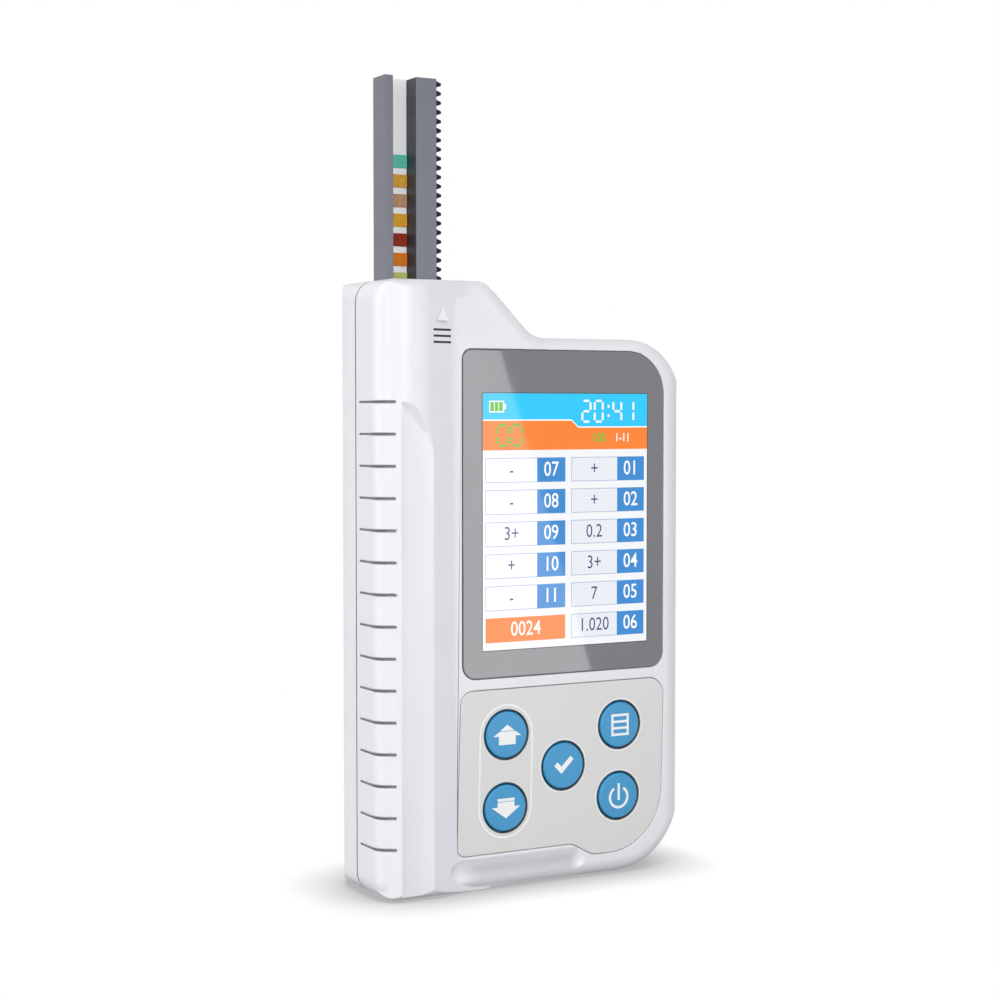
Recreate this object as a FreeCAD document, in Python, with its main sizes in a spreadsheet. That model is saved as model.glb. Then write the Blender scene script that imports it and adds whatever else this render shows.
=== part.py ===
import FreeCAD, Part
import math
import os
import Sketcher

# Handheld urine analyzer, in millimetres. It stands upright on its base, with +Z up, and its keys and screen
# face -Y. The origin is at the middle of the width and of the depth, at the height of the base.

sizes = {
    # case
    "case_width": 73.5,
    "case_height": 126.0,       # without the tray
    "case_depth": 30.0,
    "front_depth": 13.0,        # from the grip's crest back to the parting line
    "crest_rise": 2.0,          # how far the grip's crest stands in front of the screen
    "shoulder_drop": 11.3,      # from the top of the grip down to the shoulder
    "grip_top_width": 25.65,    # from the left side to the step
    "corner_radius": 4.5,
    "shoulder_radius": 12.6,
    "toe_radius": 16.0,
    "step_radius": 7.0,
    "grip_radius": 7.8,
    "grip_room_radius": 4.6,
    "front_edge_radius": 3.5,
    "right_edge_radius": 4.8,   # along the side with the socket
    "grip_edge_radius": 4.0,
    "back_side_flat": 3.5,      # from the parting line back to where the sides start to round
    "back_end_radius": 8.0,
    "wall": 2.0,
    "grip_wall": 2.4,
    "flank_start": 9.45,        # from the left side to where the grip starts to fall away
    "flank_end": 26.25,         # from the left side to where it has sunk below the screen's plane
    "flank_sink": 2.2,
    "flank_radius": 12.0,
    # scoop for the thumb and groove in the chin
    "scoop_edge": 4.4,          # from the left side to its sharp edge
    "scoop_inset": 6.6,
    "scoop_radius": 14.0,
    "scoop_depth": 1.4,
    "scoop_end_out": 2.4,       # middle of its rounded end, outside the left side
    "scoop_end_radius": 20.0,
    "scoop_end_depth": 6.0,
    "scoop_end": 89.6,
    "chin_radius": 4.5,
    "chin_depth": 0.8,
    "chin_height": 4.4,
    "chin_left": 18.75,         # from the left side
    "chin_right": 45.75,
    # grooves on the grip and the three marks under the tray's mouth
    "groove_count": 15,
    "groove_pitch": 6.46,
    "groove_first": 10.75,
    "groove_width": 0.45,
    "groove_depth": 0.45,
    "groove_start": 1.7,        # in front of the parting line
    "groove_reach": 3.35,       # from the left side
    "mark_count": 3,
    "mark_left": 11.45,
    "mark_length": 4.5,
    "mark_width": 0.45,
    "mark_pitch": 1.25,
    "mark_first": 113.3,
    # screen
    "lens_left": 18.9,          # from the left side
    "lens_right": 5.6,          # from the right side
    "lens_low": 44.2,
    "lens_high": 2.7,           # below the shoulder
    "lens_thickness": 1.2,
    "lens_small_radius": 2.0,
    "lens_low_radius": 3.0,
    "lens_large_radius": 9.0,
    "seam_gap": 0.15,
    "ledge_thickness": 1.1,
    "view_left": 4.6,           # from the lens to the lit area
    "view_right": 4.25,
    "view_low": 5.75,
    "view_high": 8.95,
    "window_margin": 1.5,
    "gasket_width": 1.1,
    "module_side": 2.4,         # from the lit area to the display's edge
    "module_low": 2.95,
    "module_high": 3.45,
    "display_thickness": 2.7,
    # keypad
    "plate_high": 2.5,          # below the lens
    "plate_low": 4.8,
    "plate_rise": 2.8,          # how much higher the plate's left part ends
    "plate_taper": 0.9,
    "plate_right": 5.3,         # from the right side
    "plate_left": 18.5,
    "plate_toe_radius": 13.0,
    "plate_top_left_radius": 2.8,
    "plate_top_right_radius": 3.7,
    "plate_low_left_radius": 1.8,
    "plate_step_side": 23.35,   # from the right side to where the plate reaches its full height
    "plate_step_run": 5.0,
    "plate_step_radius": 4.0,
    "plate_thickness": 1.2,
    "key_left": 10.6,           # from the plate's left edge to the upper left key
    "key_right": 11.4,          # from the plate's right edge to the upper right key
    "key_row_high": 9.5,        # below the plate's top
    "key_row_low": 24.8,
    "key_lean": 0.3,            # how much further left the lower row lies
    "key_radius": 4.85,
    "key_gap": 0.35,
    "key_proud": 0.35,
    "key_round": 0.4,
    "key_flange": 0.85,
    "key_flange_thickness": 0.6,
    "key_flange_gap": 0.3,
    "key_well_gap": 0.5,
    "key_stem_radius": 1.6,
    "key_travel": 0.6,
    "free_gap": 0.3,
    "dome_radius": 3.0,
    "dome_height": 0.2,
    "dome_sheet": 0.2,
    "dome_margin": 6.0,         # from the outer keys' middles to the sheet's edge
    "dome_margin_low": 4.6,
    # boards
    "board_thickness": 1.6,
    "board_left": 19.75,        # from the left side
    "board_right": 3.55,
    "board_low": 7.0,
    "board_high": 2.7,          # below the shoulder
    "board_radius": 2.0,
    "board_shoulder_radius": 8.5,
    "board_toe_radius": 12.45,
    "post_radius": 2.5,
    "post_gap": 0.4,
    "post_drop": 0.3,           # below the lens
    "post_left": 3.0,           # from the board's edges to the posts under it
    "post_right": 4.7,
    "post_top": 2.5,
    "post_top_left": 5.5,
    "post_top_right": 19.2,
    "post_toe_left": 23.0,
    "post_toe_low": 2.2,
    "case_post_top": 7.5,       # from the case's edges to the posts that hold its halves together
    "case_post_top_left": 22.25,
    "case_post_shoulder": 5.5,
    "case_post_shoulder_right": 10.25,
    "case_post_low": 5.6,
    "case_post_low_left": 22.75,
    "case_post_toe": 12.0,
    "case_post_toe_right": 7.75,
    "post_wall": 1.0,
    "screw_radius": 1.0,
    "screw_head_radius": 1.9,
    "screw_head_height": 1.4,
    "thread_gap": 0.05,
    "case_screw_seat": 2.0,
    "case_screw_reach": 7.5,    # in front of the parting line
    "board_screw_reach": 1.8,   # into the post
    "bracket_screw_reach": 4.3,
    "screw_end_gap": 0.2,       # between a screw's end and the bottom of its bore
    "screw_head_round": 0.4,
    # tray
    "tray_inset": 4.3,         # from the left side
    "tray_front": 8.0,          # behind the grip's crest
    "tray_thickness": 5.5,
    "tray_left_wall": 1.95,
    "channel_width": 5.1,
    "channel_depth": 4.5,
    "tray_right_wall": 4.75,
    "pinion_setback": 1.8,      # of the pinion behind the tray's face
    "tray_reach": 41.2,         # above the case, with the tray out
    "tray_stroke": 42.0,
    "tray_end_gap": 1.2,
    "rack_module": 0.6,
    "rack_lead": 0.9,           # from the tray's end to the rack's first tooth
    "rack_setback": 0.3,        # of its teeth behind the tray's face
    "strip_length": 61.0,
    "strip_thickness": 0.3,
    "strip_gap": 0.1,
    "strip_end_gap": 0.1,
    "pad_count": 11,
    "pad_length": 2.65,
    "pad_pitch": 4.0,
    "pad_lead": 15.3,           # from the strip's outer end to the first pad
    "pad_thickness": 0.35,
    "tile_length": 5.0,
    "tile_thickness": 0.6,
    "tile_gap": 1.0,            # between the strip's inner end and the tile
    # drive
    "drive_height": 70.0,
    "pinion_teeth": 16,
    "wheel_teeth": 36,
    "motor_teeth": 15,
    "wheel_module": 0.4,
    "wheel_width": 1.5,
    "mesh_slack": 0.05,
    "pinion_gap": 0.2,          # behind the tray's flange
    "wheel_gap": 0.5,           # behind the guide
    "axle_radius": 1.0,
    "shaft_radius": 0.75,
    "running_gap": 0.05,
    "seat_gap": 0.02,
    "hub_radius": 3.0,
    "clip_thickness": 0.4,
    "clip_rim": 1.2,
    "axle_tip": 0.3,            # in front of the clip
    "axle_seat_depth": 2.0,     # what is left of the axle's post behind its seat
    "axle_post_wall": 1.2,
    "shaft_tip": 0.4,           # in front of the motor's pinion
    "shaft_bearing": 2.0,       # how far the shaft runs into the motor
    "shaft_end_gap": 0.5,
    "motor_round": 0.6,
    "motor_radius": 7.5,
    "motor_boss_radius": 2.0,
    "bracket_thickness": 0.7,
    "bracket_post_radius": 1.8,
    "bracket_post_left": 9.45,  # from the drive gear's axis
    "bracket_post_right": 10.3, # from the motor's axis
    "bracket_post_rise": 6.0,
    "bracket_margin": 2.3,
    "bracket_bore_depth": 5.3,
    # guide
    "guide_plate": 1.0,
    "guide_rail": 1.7,
    "guide_lip": 1.3,
    "guide_lip_cover": 0.9,
    "guide_low": 20.0,
    "guide_high": 10.0,         # below the top
    "guide_right_gap": 0.5,
    "rib_thickness": 1.6,
    "rib_low": 30.0,
    "rib_high": 26.0,           # below the top
    # switch that the tray reaches when it is right in
    "switch_rise": 4.8,         # above the lowest end of the tray's travel
    "switch_height": 7.0,
    "switch_width": 4.8,
    "switch_depth": 3.6,        # behind the guide's plane
    "switch_inset": 2.5,        # from the channel's left wall
    "switch_gap": 0.2,
    "switch_stand_inset": 1.0,
    "plunger_radius": 0.8,
    "plunger_root": 1.0,
    # reader
    "reader_drop": 11.0,        # below the top
    "reader_height": 16.0,
    "reader_overhang": 0.9,     # left of the channel
    "reader_gap": 0.4,
    "reader_width": 6.8,
    "reader_board": 0.7,
    "reader_front": 3.3,        # behind the grip's crest
    "reader_bore": 2.4,
    "reader_foot": 1.4,
    "reader_foot_depth": 1.4,
    "lip_gap": 0.1,
    "led_width": 1.6,
    "led_height": 0.8,
    "led_thickness": 0.7,
    "led_pitch": 3.0,
    "sensor_width": 1.4,
    "sensor_height": 1.2,
    "sensor_thickness": 0.6,
    "ribbon_thickness": 0.2,
    "ribbon_width": 4.4,
    "ribbon_rise": 0.3,         # above the reader's middle
    "ribbon_inset": 0.3,        # behind the reader board's face
    "ribbon_run": 3.0,          # from the reader to its first bend
    "ribbon_step": 1.0,
    "ribbon_landing": 2.5,      # over the main board
    # battery
    "battery_side": 15.75,      # from either side of the case
    "battery_height": 32.2,
    "battery_depth": 8.4,
    "battery_round": 1.5,
    "tub_gap": 0.5,
    "tub_wall": 1.2,
    "tub_low": 11.5,
    "door_room": 2.1,           # between the battery and the door
    "contact_room": 2.8,
    "contact_length": 3.0,
    "contact_width": 4.0,
    "contact_thickness": 0.3,
    "door_overlap": 0.5,
    "door_thickness": 1.7,
    "door_gap": 0.3,
    "hinge_depth": 1.1,         # from the back to the hinge line
    "door_sill": 1.0,           # from the hinge line down to the window's edge
    "notch_radius": 7.0,        # finger notch above the door
    "notch_depth": 0.8,
    "sound_hole_radius": 0.7,
    "sound_hole_pitch": 2.6,
    "pin_radius": 0.5,
    "pin_length": 1.2,
    "pin_end_gap": 0.1,
    # socket and small parts
    "socket_width": 8.0,
    "socket_depth": 3.4,
    "socket_length": 9.15,
    "socket_height": 62.0,
    "socket_wall": 0.4,
    "socket_recess": 0.2,
    "socket_floor": 2.0,
    "tongue_thickness": 0.8,
    "tongue_margin": 1.6,
    "tongue_recess": 1.0,
    "connector_length": 18.0,
    "connector_width": 2.8,
    "connector_height": 1.2,
    "connector_drop": 1.6,      # below the display
    "flex_width": 16.0,
    "flex_overlap": 2.4,
    "buzzer_radius": 4.75,
    "buzzer_height": 3.8,
    "buzzer_round": 0.5,
    "buzzer_side": 11.0,        # right of the display's middle
    "buzzer_drop": 22.7,        # below the shoulder
    "chip_height": 1.2,
    "processor_side": 10.0,
    "processor_left": 5.0,      # from the display's middle
    "processor_up": 21.0,       # from the board's lower edge
    "memory_side": 4.5,
    "memory_right": 9.0,
    "memory_up": 23.0,
    "charger_side": 6.0,
    "charger_up": 13.0,
    "driver_side": 6.0,
    "driver_left": 3.0,
    "driver_down": 22.0,        # from the board's upper edge
}

ROOT_TWO_LESS_ONE = math.sqrt(2) - 1    # a 45 degree slope moved in by 1 shifts its corners by this much
PRESSURE_ANGLE = math.radians(20)
ADDENDUM = 0.8                          # of the module, short enough for small pinions
DEDENDUM = 1.25
BACKLASH = 0.1                          # of the module, on each tooth's thickness
FLANK_POINTS = 5
TOUCH = 1e-4                            # how near counts as lying on a plane
PAST = 1.0                              # how far a cutting tool runs past the face that it opens
BURY = 0.5                              # how far a fitting runs into the wall that carries it


class Size:
    """A number that remembers which cells of the spreadsheet it comes from."""

    def __init__(self, value, text):
        self.value = value
        self.text = text

    def __add__(self, other):
        return Size(self.value + number(other), f"({self.text} + {words(other)})")

    def __radd__(self, other):
        return Size(number(other) + self.value, f"({words(other)} + {self.text})")

    def __sub__(self, other):
        return Size(self.value - number(other), f"({self.text} - {words(other)})")

    def __rsub__(self, other):
        return Size(number(other) - self.value, f"({words(other)} - {self.text})")

    def __mul__(self, other):
        return Size(self.value * number(other), f"({self.text} * {words(other)})")

    def __rmul__(self, other):
        return Size(number(other) * self.value, f"({words(other)} * {self.text})")

    def __truediv__(self, other):
        return Size(self.value / number(other), f"({self.text} / {words(other)})")

    def __neg__(self):
        return Size(-self.value, f"(0 - {self.text})")


def number(item):
    return item.value if isinstance(item, Size) else item


def words(item):
    return item.text if isinstance(item, Size) else f"({item})"


class Sheet:
    """The driving sizes as cells with aliases, each read as an attribute."""

    def __init__(self, values):
        cells = doc.addObject("Spreadsheet::Sheet", "Sizes")
        for row, (alias, value) in enumerate(values.items(), 1):
            cells.set(f"A{row}", alias)
            cells.set(f"B{row}", str(value))
            cells.setAlias(f"B{row}", alias)
            setattr(self, alias, Size(value, f"Sizes.{alias}"))


doc = FreeCAD.newDocument("urine_analyzer")
d = Sheet(sizes)
doc.recompute()
pieces = {}

none = Size(0, "0")
left = -d.case_width / 2
right = d.case_width / 2
crest = -d.case_depth / 2
rear = d.case_depth / 2
face = crest + d.crest_rise
parting = crest + d.front_depth
top = d.case_height
shoulder = top - d.shoulder_drop


# ---- ways of making a piece ----

def bind(thing, path, item):
    thing.setExpression(path, words(item))


def outline(sketch, corners):
    """Draws a closed outline of (x, y, radius) corners and ties each corner to its sizes."""
    ties = []
    arcs = []
    count = len(corners)
    points = [FreeCAD.Vector(number(x), number(y), 0) for x, y, _ in corners]
    ends = []
    for n, (_, _, radius) in enumerate(corners):
        before = (points[n - 1] - points[n]).normalize()
        after = (points[(n + 1) % count] - points[n]).normalize()
        reach = 0.0
        if number(radius) > 0:
            reach = number(radius) / math.tan(before.getAngle(after) / 2)
        ends.append((points[n] + before * reach, points[n] + after * reach))
    for n in range(count):
        sketch.addGeometry(Part.LineSegment(ends[n][1], ends[(n + 1) % count][0]), False)
    for n, (x, y, radius) in enumerate(corners):
        line_in = (n - 1) % count
        if number(radius) > 0:
            middle = (ends[n][0] + ends[n][1]) / 2
            away = (middle - points[n]).normalize()
            centre = points[n] + away * math.hypot(number(radius), (ends[n][0] - points[n]).Length)
            arc = Part.Arc(ends[n][0], centre - away * number(radius), ends[n][1])
            index = sketch.addGeometry(arc, False)
            first, last = (1, 2) if sketch.getPoint(index, 1).isEqual(ends[n][0], TOUCH) else (2, 1)
            corner = sketch.addGeometry(Part.Point(points[n]), True)
            sketch.addConstraint([
                Sketcher.Constraint("Tangent", line_in, 2, index, first),
                Sketcher.Constraint("Tangent", index, last, n, 1),
                Sketcher.Constraint("PointOnObject", corner, 1, line_in),
                Sketcher.Constraint("PointOnObject", corner, 1, n)])
            arcs.append((index, radius))
            ties.append((corner, 1, x, y))
        else:
            sketch.addConstraint(Sketcher.Constraint("Coincident", line_in, 2, n, 1))
            ties.append((n, 1, x, y))
    for index, radius in arcs:
        tie = sketch.addConstraint(Sketcher.Constraint("Radius", index, number(radius)))
        bind(sketch, f"Constraints[{tie}]", radius)
    for index, end, x, y in ties:
        for kind, item in (("DistanceX", x), ("DistanceY", y)):
            tie = sketch.addConstraint(Sketcher.Constraint(kind, -1, 1, index, end, number(item)))
            bind(sketch, f"Constraints[{tie}]", item)


def sketch_on(body, plane, offset, corners):
    sketch = body.newObject("Sketcher::SketchObject", body.Name + "_sketch")
    origin_plane = next(item for item in body.Origin.OriginFeatures if item.Role == plane)
    sketch.AttachmentSupport = [(origin_plane, "")]
    sketch.MapMode = "FlatFace"
    for letter, item in zip("xyz", offset):
        bind(sketch, f"AttachmentOffset.Base.{letter}", item)
    outline(sketch, corners)
    return sketch


def extruded(name, axis, corners, low, high):
    """A prism along an axis from low to high. Its corners are (x, y), (x, z) or (y, z) with a radius."""
    body = doc.addObject("PartDesign::Body", name)
    plane = {"x": "YZ_Plane", "y": "XZ_Plane", "z": "XY_Plane"}[axis]
    start = -high if axis == "y" else low
    sketch = sketch_on(body, plane, (0, 0, start), corners)
    pad = body.newObject("PartDesign::Pad", name + "_pad")
    pad.Profile = sketch
    bind(pad, "Length", high - low)
    return body


def turned(name, x, z, profile):
    """A body of revolution about a line along Y through (x, z). Its corners are (radius, y, rounding)."""
    body = doc.addObject("PartDesign::Body", name)
    sketch = sketch_on(body, "XY_Plane", (x, 0, z), profile)
    turn = body.newObject("PartDesign::Revolution", name + "_turn")
    turn.Profile = sketch
    turn.ReferenceAxis = (sketch, ["V_Axis"])
    turn.Angle = 360
    return body


def rounded(body, axis, level, radius):
    """Rounds the loop of edges that lies at one level along an axis."""
    doc.recompute()
    base = body.Tip
    low, high = axis.upper() + "Min", axis.upper() + "Max"
    loop = [f"Edge{n}" for n, edge in enumerate(base.Shape.Edges, 1)
            if abs(getattr(edge.BoundBox, low) - number(level)) < TOUCH
            and abs(getattr(edge.BoundBox, high) - number(level)) < TOUCH]
    fillet = body.newObject("PartDesign::Fillet", body.Name + "_rounding")
    fillet.Base = (base, loop)
    bind(fillet, "Radius", radius)
    return body


def box(name, low, high):
    made = doc.addObject("Part::Box", name)
    for side, letter, start, end in zip(("Length", "Width", "Height"), "xyz", low, high):
        bind(made, side, end - start)
        bind(made, f"Placement.Base.{letter}", start)
    return made


def rod(name, axis, start, radius, length):
    """A cylinder that begins at start and runs along an axis."""
    turns = {"x": ((0, 1, 0), 90), "y": ((1, 0, 0), -90), "z": ((0, 0, 1), 0)}
    made = doc.addObject("Part::Cylinder", name)
    direction, angle = turns[axis]
    made.Placement = FreeCAD.Placement(FreeCAD.Vector(), FreeCAD.Rotation(FreeCAD.Vector(*direction), angle))
    bind(made, "Radius", radius)
    bind(made, "Height", length)
    for letter, item in zip("xyz", start):
        bind(made, f"Placement.Base.{letter}", item)
    return made


def ball(name, centre, radius):
    made = doc.addObject("Part::Sphere", name)
    bind(made, "Radius", radius)
    for letter, item in zip("xyz", centre):
        bind(made, f"Placement.Base.{letter}", item)
    return made


def joined(name, parts):
    made = doc.addObject("Part::MultiFuse", name)
    made.Shapes = parts
    return made


def shared(name, parts):
    made = doc.addObject("Part::MultiCommon", name)
    made.Shapes = parts
    return made


def cut(name, base, tools):
    made = doc.addObject("Part::Cut", name)
    made.Base = base
    made.Tool = tools[0] if len(tools) == 1 else joined(name + "_tools", tools)
    return made


def group(name, parts):
    made = doc.addObject("Part::Compound", name)
    made.Links = parts
    return made


def keep(name, made):
    """Names a finished piece. Its label is its file's name."""
    made.Label = name
    pieces[name] = made
    return made


# ---- lines that several pieces share ----

def case_outline(inset):
    """Front view of the case, moved in by a wall."""
    shift = inset * ROOT_TWO_LESS_ONE
    step = left + d.grip_top_width
    return [(left + inset, inset, d.corner_radius - inset),
            (right - inset, inset, d.toe_radius - inset),
            (right - inset, shoulder - inset, d.shoulder_radius - inset),
            (step + d.shoulder_drop - shift, shoulder - inset, d.step_radius + inset),
            (step - shift, top - inset, d.step_radius - inset),
            (left + inset, top - inset, d.corner_radius - inset)]


def grip_section(inset, radius):
    """Top view of the grip's side, crest and flank, moved in by a depth. The radius is its front corner's."""
    return [(left + inset, parting, 0),
            (left + inset, crest + inset, radius),
            (left + d.flank_start, crest + inset, d.flank_radius - inset),
            (left + d.flank_end, face + d.flank_sink + inset, 0),
            (left + d.flank_end, parting, 0)]


def lens_outline(grow):
    return [(left + d.lens_left - grow, d.lens_low - grow, d.lens_low_radius + grow),
            (right - d.lens_right + grow, d.lens_low - grow, d.lens_low_radius + grow),
            (right - d.lens_right + grow, shoulder - d.lens_high + grow, d.lens_large_radius + grow),
            (left + d.lens_left - grow, shoulder - d.lens_high + grow, d.lens_small_radius + grow)]


def plate_outline(grow):
    high = d.lens_low - d.plate_high + grow
    low = d.plate_low - grow
    step = d.plate_low + d.plate_rise - grow
    return [(left + d.plate_left - d.plate_taper - grow, step, d.plate_low_left_radius + grow),
            (right - d.plate_step_side - d.plate_step_run, step, d.plate_step_radius),
            (right - d.plate_step_side, low, d.plate_step_radius),
            (right - d.plate_right - d.plate_taper + grow, low, d.plate_toe_radius + grow),
            (right - d.plate_right + grow, high, d.plate_top_right_radius + grow),
            (left + d.plate_left - grow, high, d.plate_top_left_radius + grow)]


def rectangle(low_a, high_a, low_b, high_b, radius=0):
    return [(low_a, low_b, radius), (high_a, low_b, radius), (high_a, high_b, radius), (low_a, high_b, radius)]


plate_top = d.lens_low - d.plate_high
high_row = plate_top - d.key_row_high
low_row = plate_top - d.key_row_low
left_keys = left + d.plate_left + d.key_left
right_keys = right - d.plate_right - d.key_right
keys = {                                # middle of each key
    "key_up": (left_keys, high_row),
    "key_down": (left_keys - d.key_lean, low_row),
    "key_ok": ((left_keys + right_keys - d.key_lean) / 2, (high_row + low_row) / 2),
    "key_menu": (right_keys, high_row),
    "key_power": (right_keys - d.key_lean, low_row),
}

view = (left + d.lens_left + d.view_left, right - d.lens_right - d.view_right,
        d.lens_low + d.view_low, shoulder - d.lens_high - d.view_high)
view_middle = (view[0] + view[1]) / 2
lens_back = face + d.lens_thickness
floor_back = lens_back + d.ledge_thickness
board_front = floor_back + d.display_thickness
board_back = board_front + d.board_thickness
back_inside = rear - d.wall

board_edge = left + d.board_left        # the main board's left, right and upper edges
board_end = right - d.board_right
board_top = shoulder - d.board_high
board_posts = [(board_edge + d.post_left, d.lens_low - d.post_drop),
               (board_end - d.post_right, d.lens_low - d.post_drop),
               (board_edge + d.post_top_left, board_top - d.post_top),
               (board_end - d.post_top_right, board_top - d.post_top),
               (board_edge + d.post_toe_left, d.board_low + d.post_toe_low)]
case_posts = [(left + d.case_post_top_left, top - d.case_post_top),
              (right - d.case_post_shoulder_right, shoulder - d.case_post_shoulder),
              (left + d.case_post_low_left, d.case_post_low),
              (right - d.case_post_toe_right, d.case_post_toe)]

tray_left = left + d.tray_inset
channel_left = tray_left + d.tray_left_wall
channel_right = channel_left + d.channel_width
tray_right = channel_right + d.tray_right_wall
tray_face = crest + d.tray_front
tray_back = tray_face + d.tray_thickness
channel_floor = tray_face + d.channel_depth
tray_top = top + d.tray_reach
tray_low = d.wall + d.tray_end_gap + d.tray_stroke
pitch_line = tray_right + d.rack_module * DEDENDUM
rack_tip = pitch_line + d.rack_module * ADDENDUM

gear_x = pitch_line + d.rack_module * d.pinion_teeth / 2 + d.mesh_slack
gear_z = d.drive_height
motor_x = gear_x + d.wheel_module * (d.wheel_teeth + d.motor_teeth) / 2 + d.mesh_slack
pinion_front = tray_face + d.pinion_setback + d.pinion_gap
pinion_back = tray_back - d.free_gap
guide_front = tray_back + d.free_gap
guide_back = guide_front + d.guide_plate
wheel_front = guide_back + d.wheel_gap
wheel_back = wheel_front + d.wheel_width
bracket_front = wheel_back + d.free_gap
bracket_back = bracket_front + d.bracket_thickness
axle_end = back_inside - d.axle_seat_depth
bracket_posts = [(gear_x - d.bracket_post_left, gear_z - d.bracket_post_rise),
                 (gear_x - d.bracket_post_left, gear_z + d.bracket_post_rise),
                 (motor_x + d.bracket_post_right, gear_z - d.bracket_post_rise),
                 (motor_x + d.bracket_post_right, gear_z + d.bracket_post_rise)]

switch_left = channel_left + d.switch_inset
switch_right = switch_left + d.switch_width
switch_low = d.wall + d.tray_end_gap + d.switch_rise
switch_high = switch_low + d.switch_height
switch_back = guide_back + d.switch_depth

reader_left = channel_left - d.reader_overhang
reader_right = reader_left + d.reader_width
reader_mid = (channel_left + channel_right) / 2
reader_high = top - d.reader_drop
reader_low = reader_high - d.reader_height
reader_z = (reader_low + reader_high) / 2
reader_face = crest + d.reader_front

battery_half = d.case_width / 2 - d.battery_side
battery_front = rear - d.door_thickness - d.door_room - d.battery_depth
battery_high = d.tub_low + d.battery_height
tub_high = battery_high + d.contact_room
tub_half = battery_half + d.tub_gap
door_half = tub_half + d.door_overlap
hinge_y = rear - d.hinge_depth
hinge_z = d.tub_low - d.door_overlap
door_high = tub_high + d.door_overlap
door_front = rear - d.door_thickness

buzzer_x = view_middle + d.buzzer_side
buzzer_z = shoulder - d.buzzer_drop

socket_low = d.socket_height - d.socket_width / 2
socket_high = d.socket_height + d.socket_width / 2
socket_end = right - d.socket_recess


# ---- case ----

def side_grooves():
    """Fifteen grooves round the grip and three short marks, all to one depth below the surface."""
    blades = []
    for n in range(sizes["groove_count"]):
        level = d.groove_first + d.groove_pitch * n
        blades.append(box(f"groove_{n + 1}", (left - PAST, crest - PAST, level - d.groove_width / 2),
                          (left + d.groove_reach, parting - d.groove_start, level + d.groove_width / 2)))
    start = left + d.mark_left
    for n in range(sizes["mark_count"]):
        level = d.mark_first + d.mark_pitch * n
        blades.append(box(f"mark_{n + 1}", (start, crest - PAST, level - d.mark_width / 2),
                          (start + d.mark_length, parting, level + d.mark_width / 2)))
    core = extruded("groove_core", "z", grip_section(d.groove_depth, d.grip_radius - d.groove_depth), none, top)
    return cut("grooves", group("groove_blades", blades), [core])


def scoop():
    """A long hollow for the thumb: sharp on its left, open at the base, with a top that curves down to the right."""
    wide = box("scoop_width", (left + d.scoop_edge, crest - PAST, -PAST),
               (left + d.flank_end, face + d.flank_sink, top))
    hollow = rod("scoop_rod", "z", (left + d.scoop_inset, crest + d.scoop_depth - d.scoop_radius, -PAST),
                 d.scoop_radius, top)
    x = left - d.scoop_end_out
    y = crest + d.scoop_end_depth - d.scoop_end_radius
    bound = joined("scoop_bound", [rod("scoop_side", "z", (x, y, -PAST), d.scoop_end_radius, d.scoop_end + PAST),
                                   ball("scoop_top", (x, y, d.scoop_end), d.scoop_end_radius)])
    return [shared("scoop", [wide, hollow, bound])]


def chin_groove():
    y = face + d.chin_depth - d.chin_radius
    start = left + d.chin_left
    end = left + d.chin_right
    return [rod("chin_rod", "x", (start, y, d.chin_height), d.chin_radius, end - start),
            ball("chin_start", (start, y, d.chin_height), d.chin_radius),
            ball("chin_end", (end, y, d.chin_height), d.chin_radius)]


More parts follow.
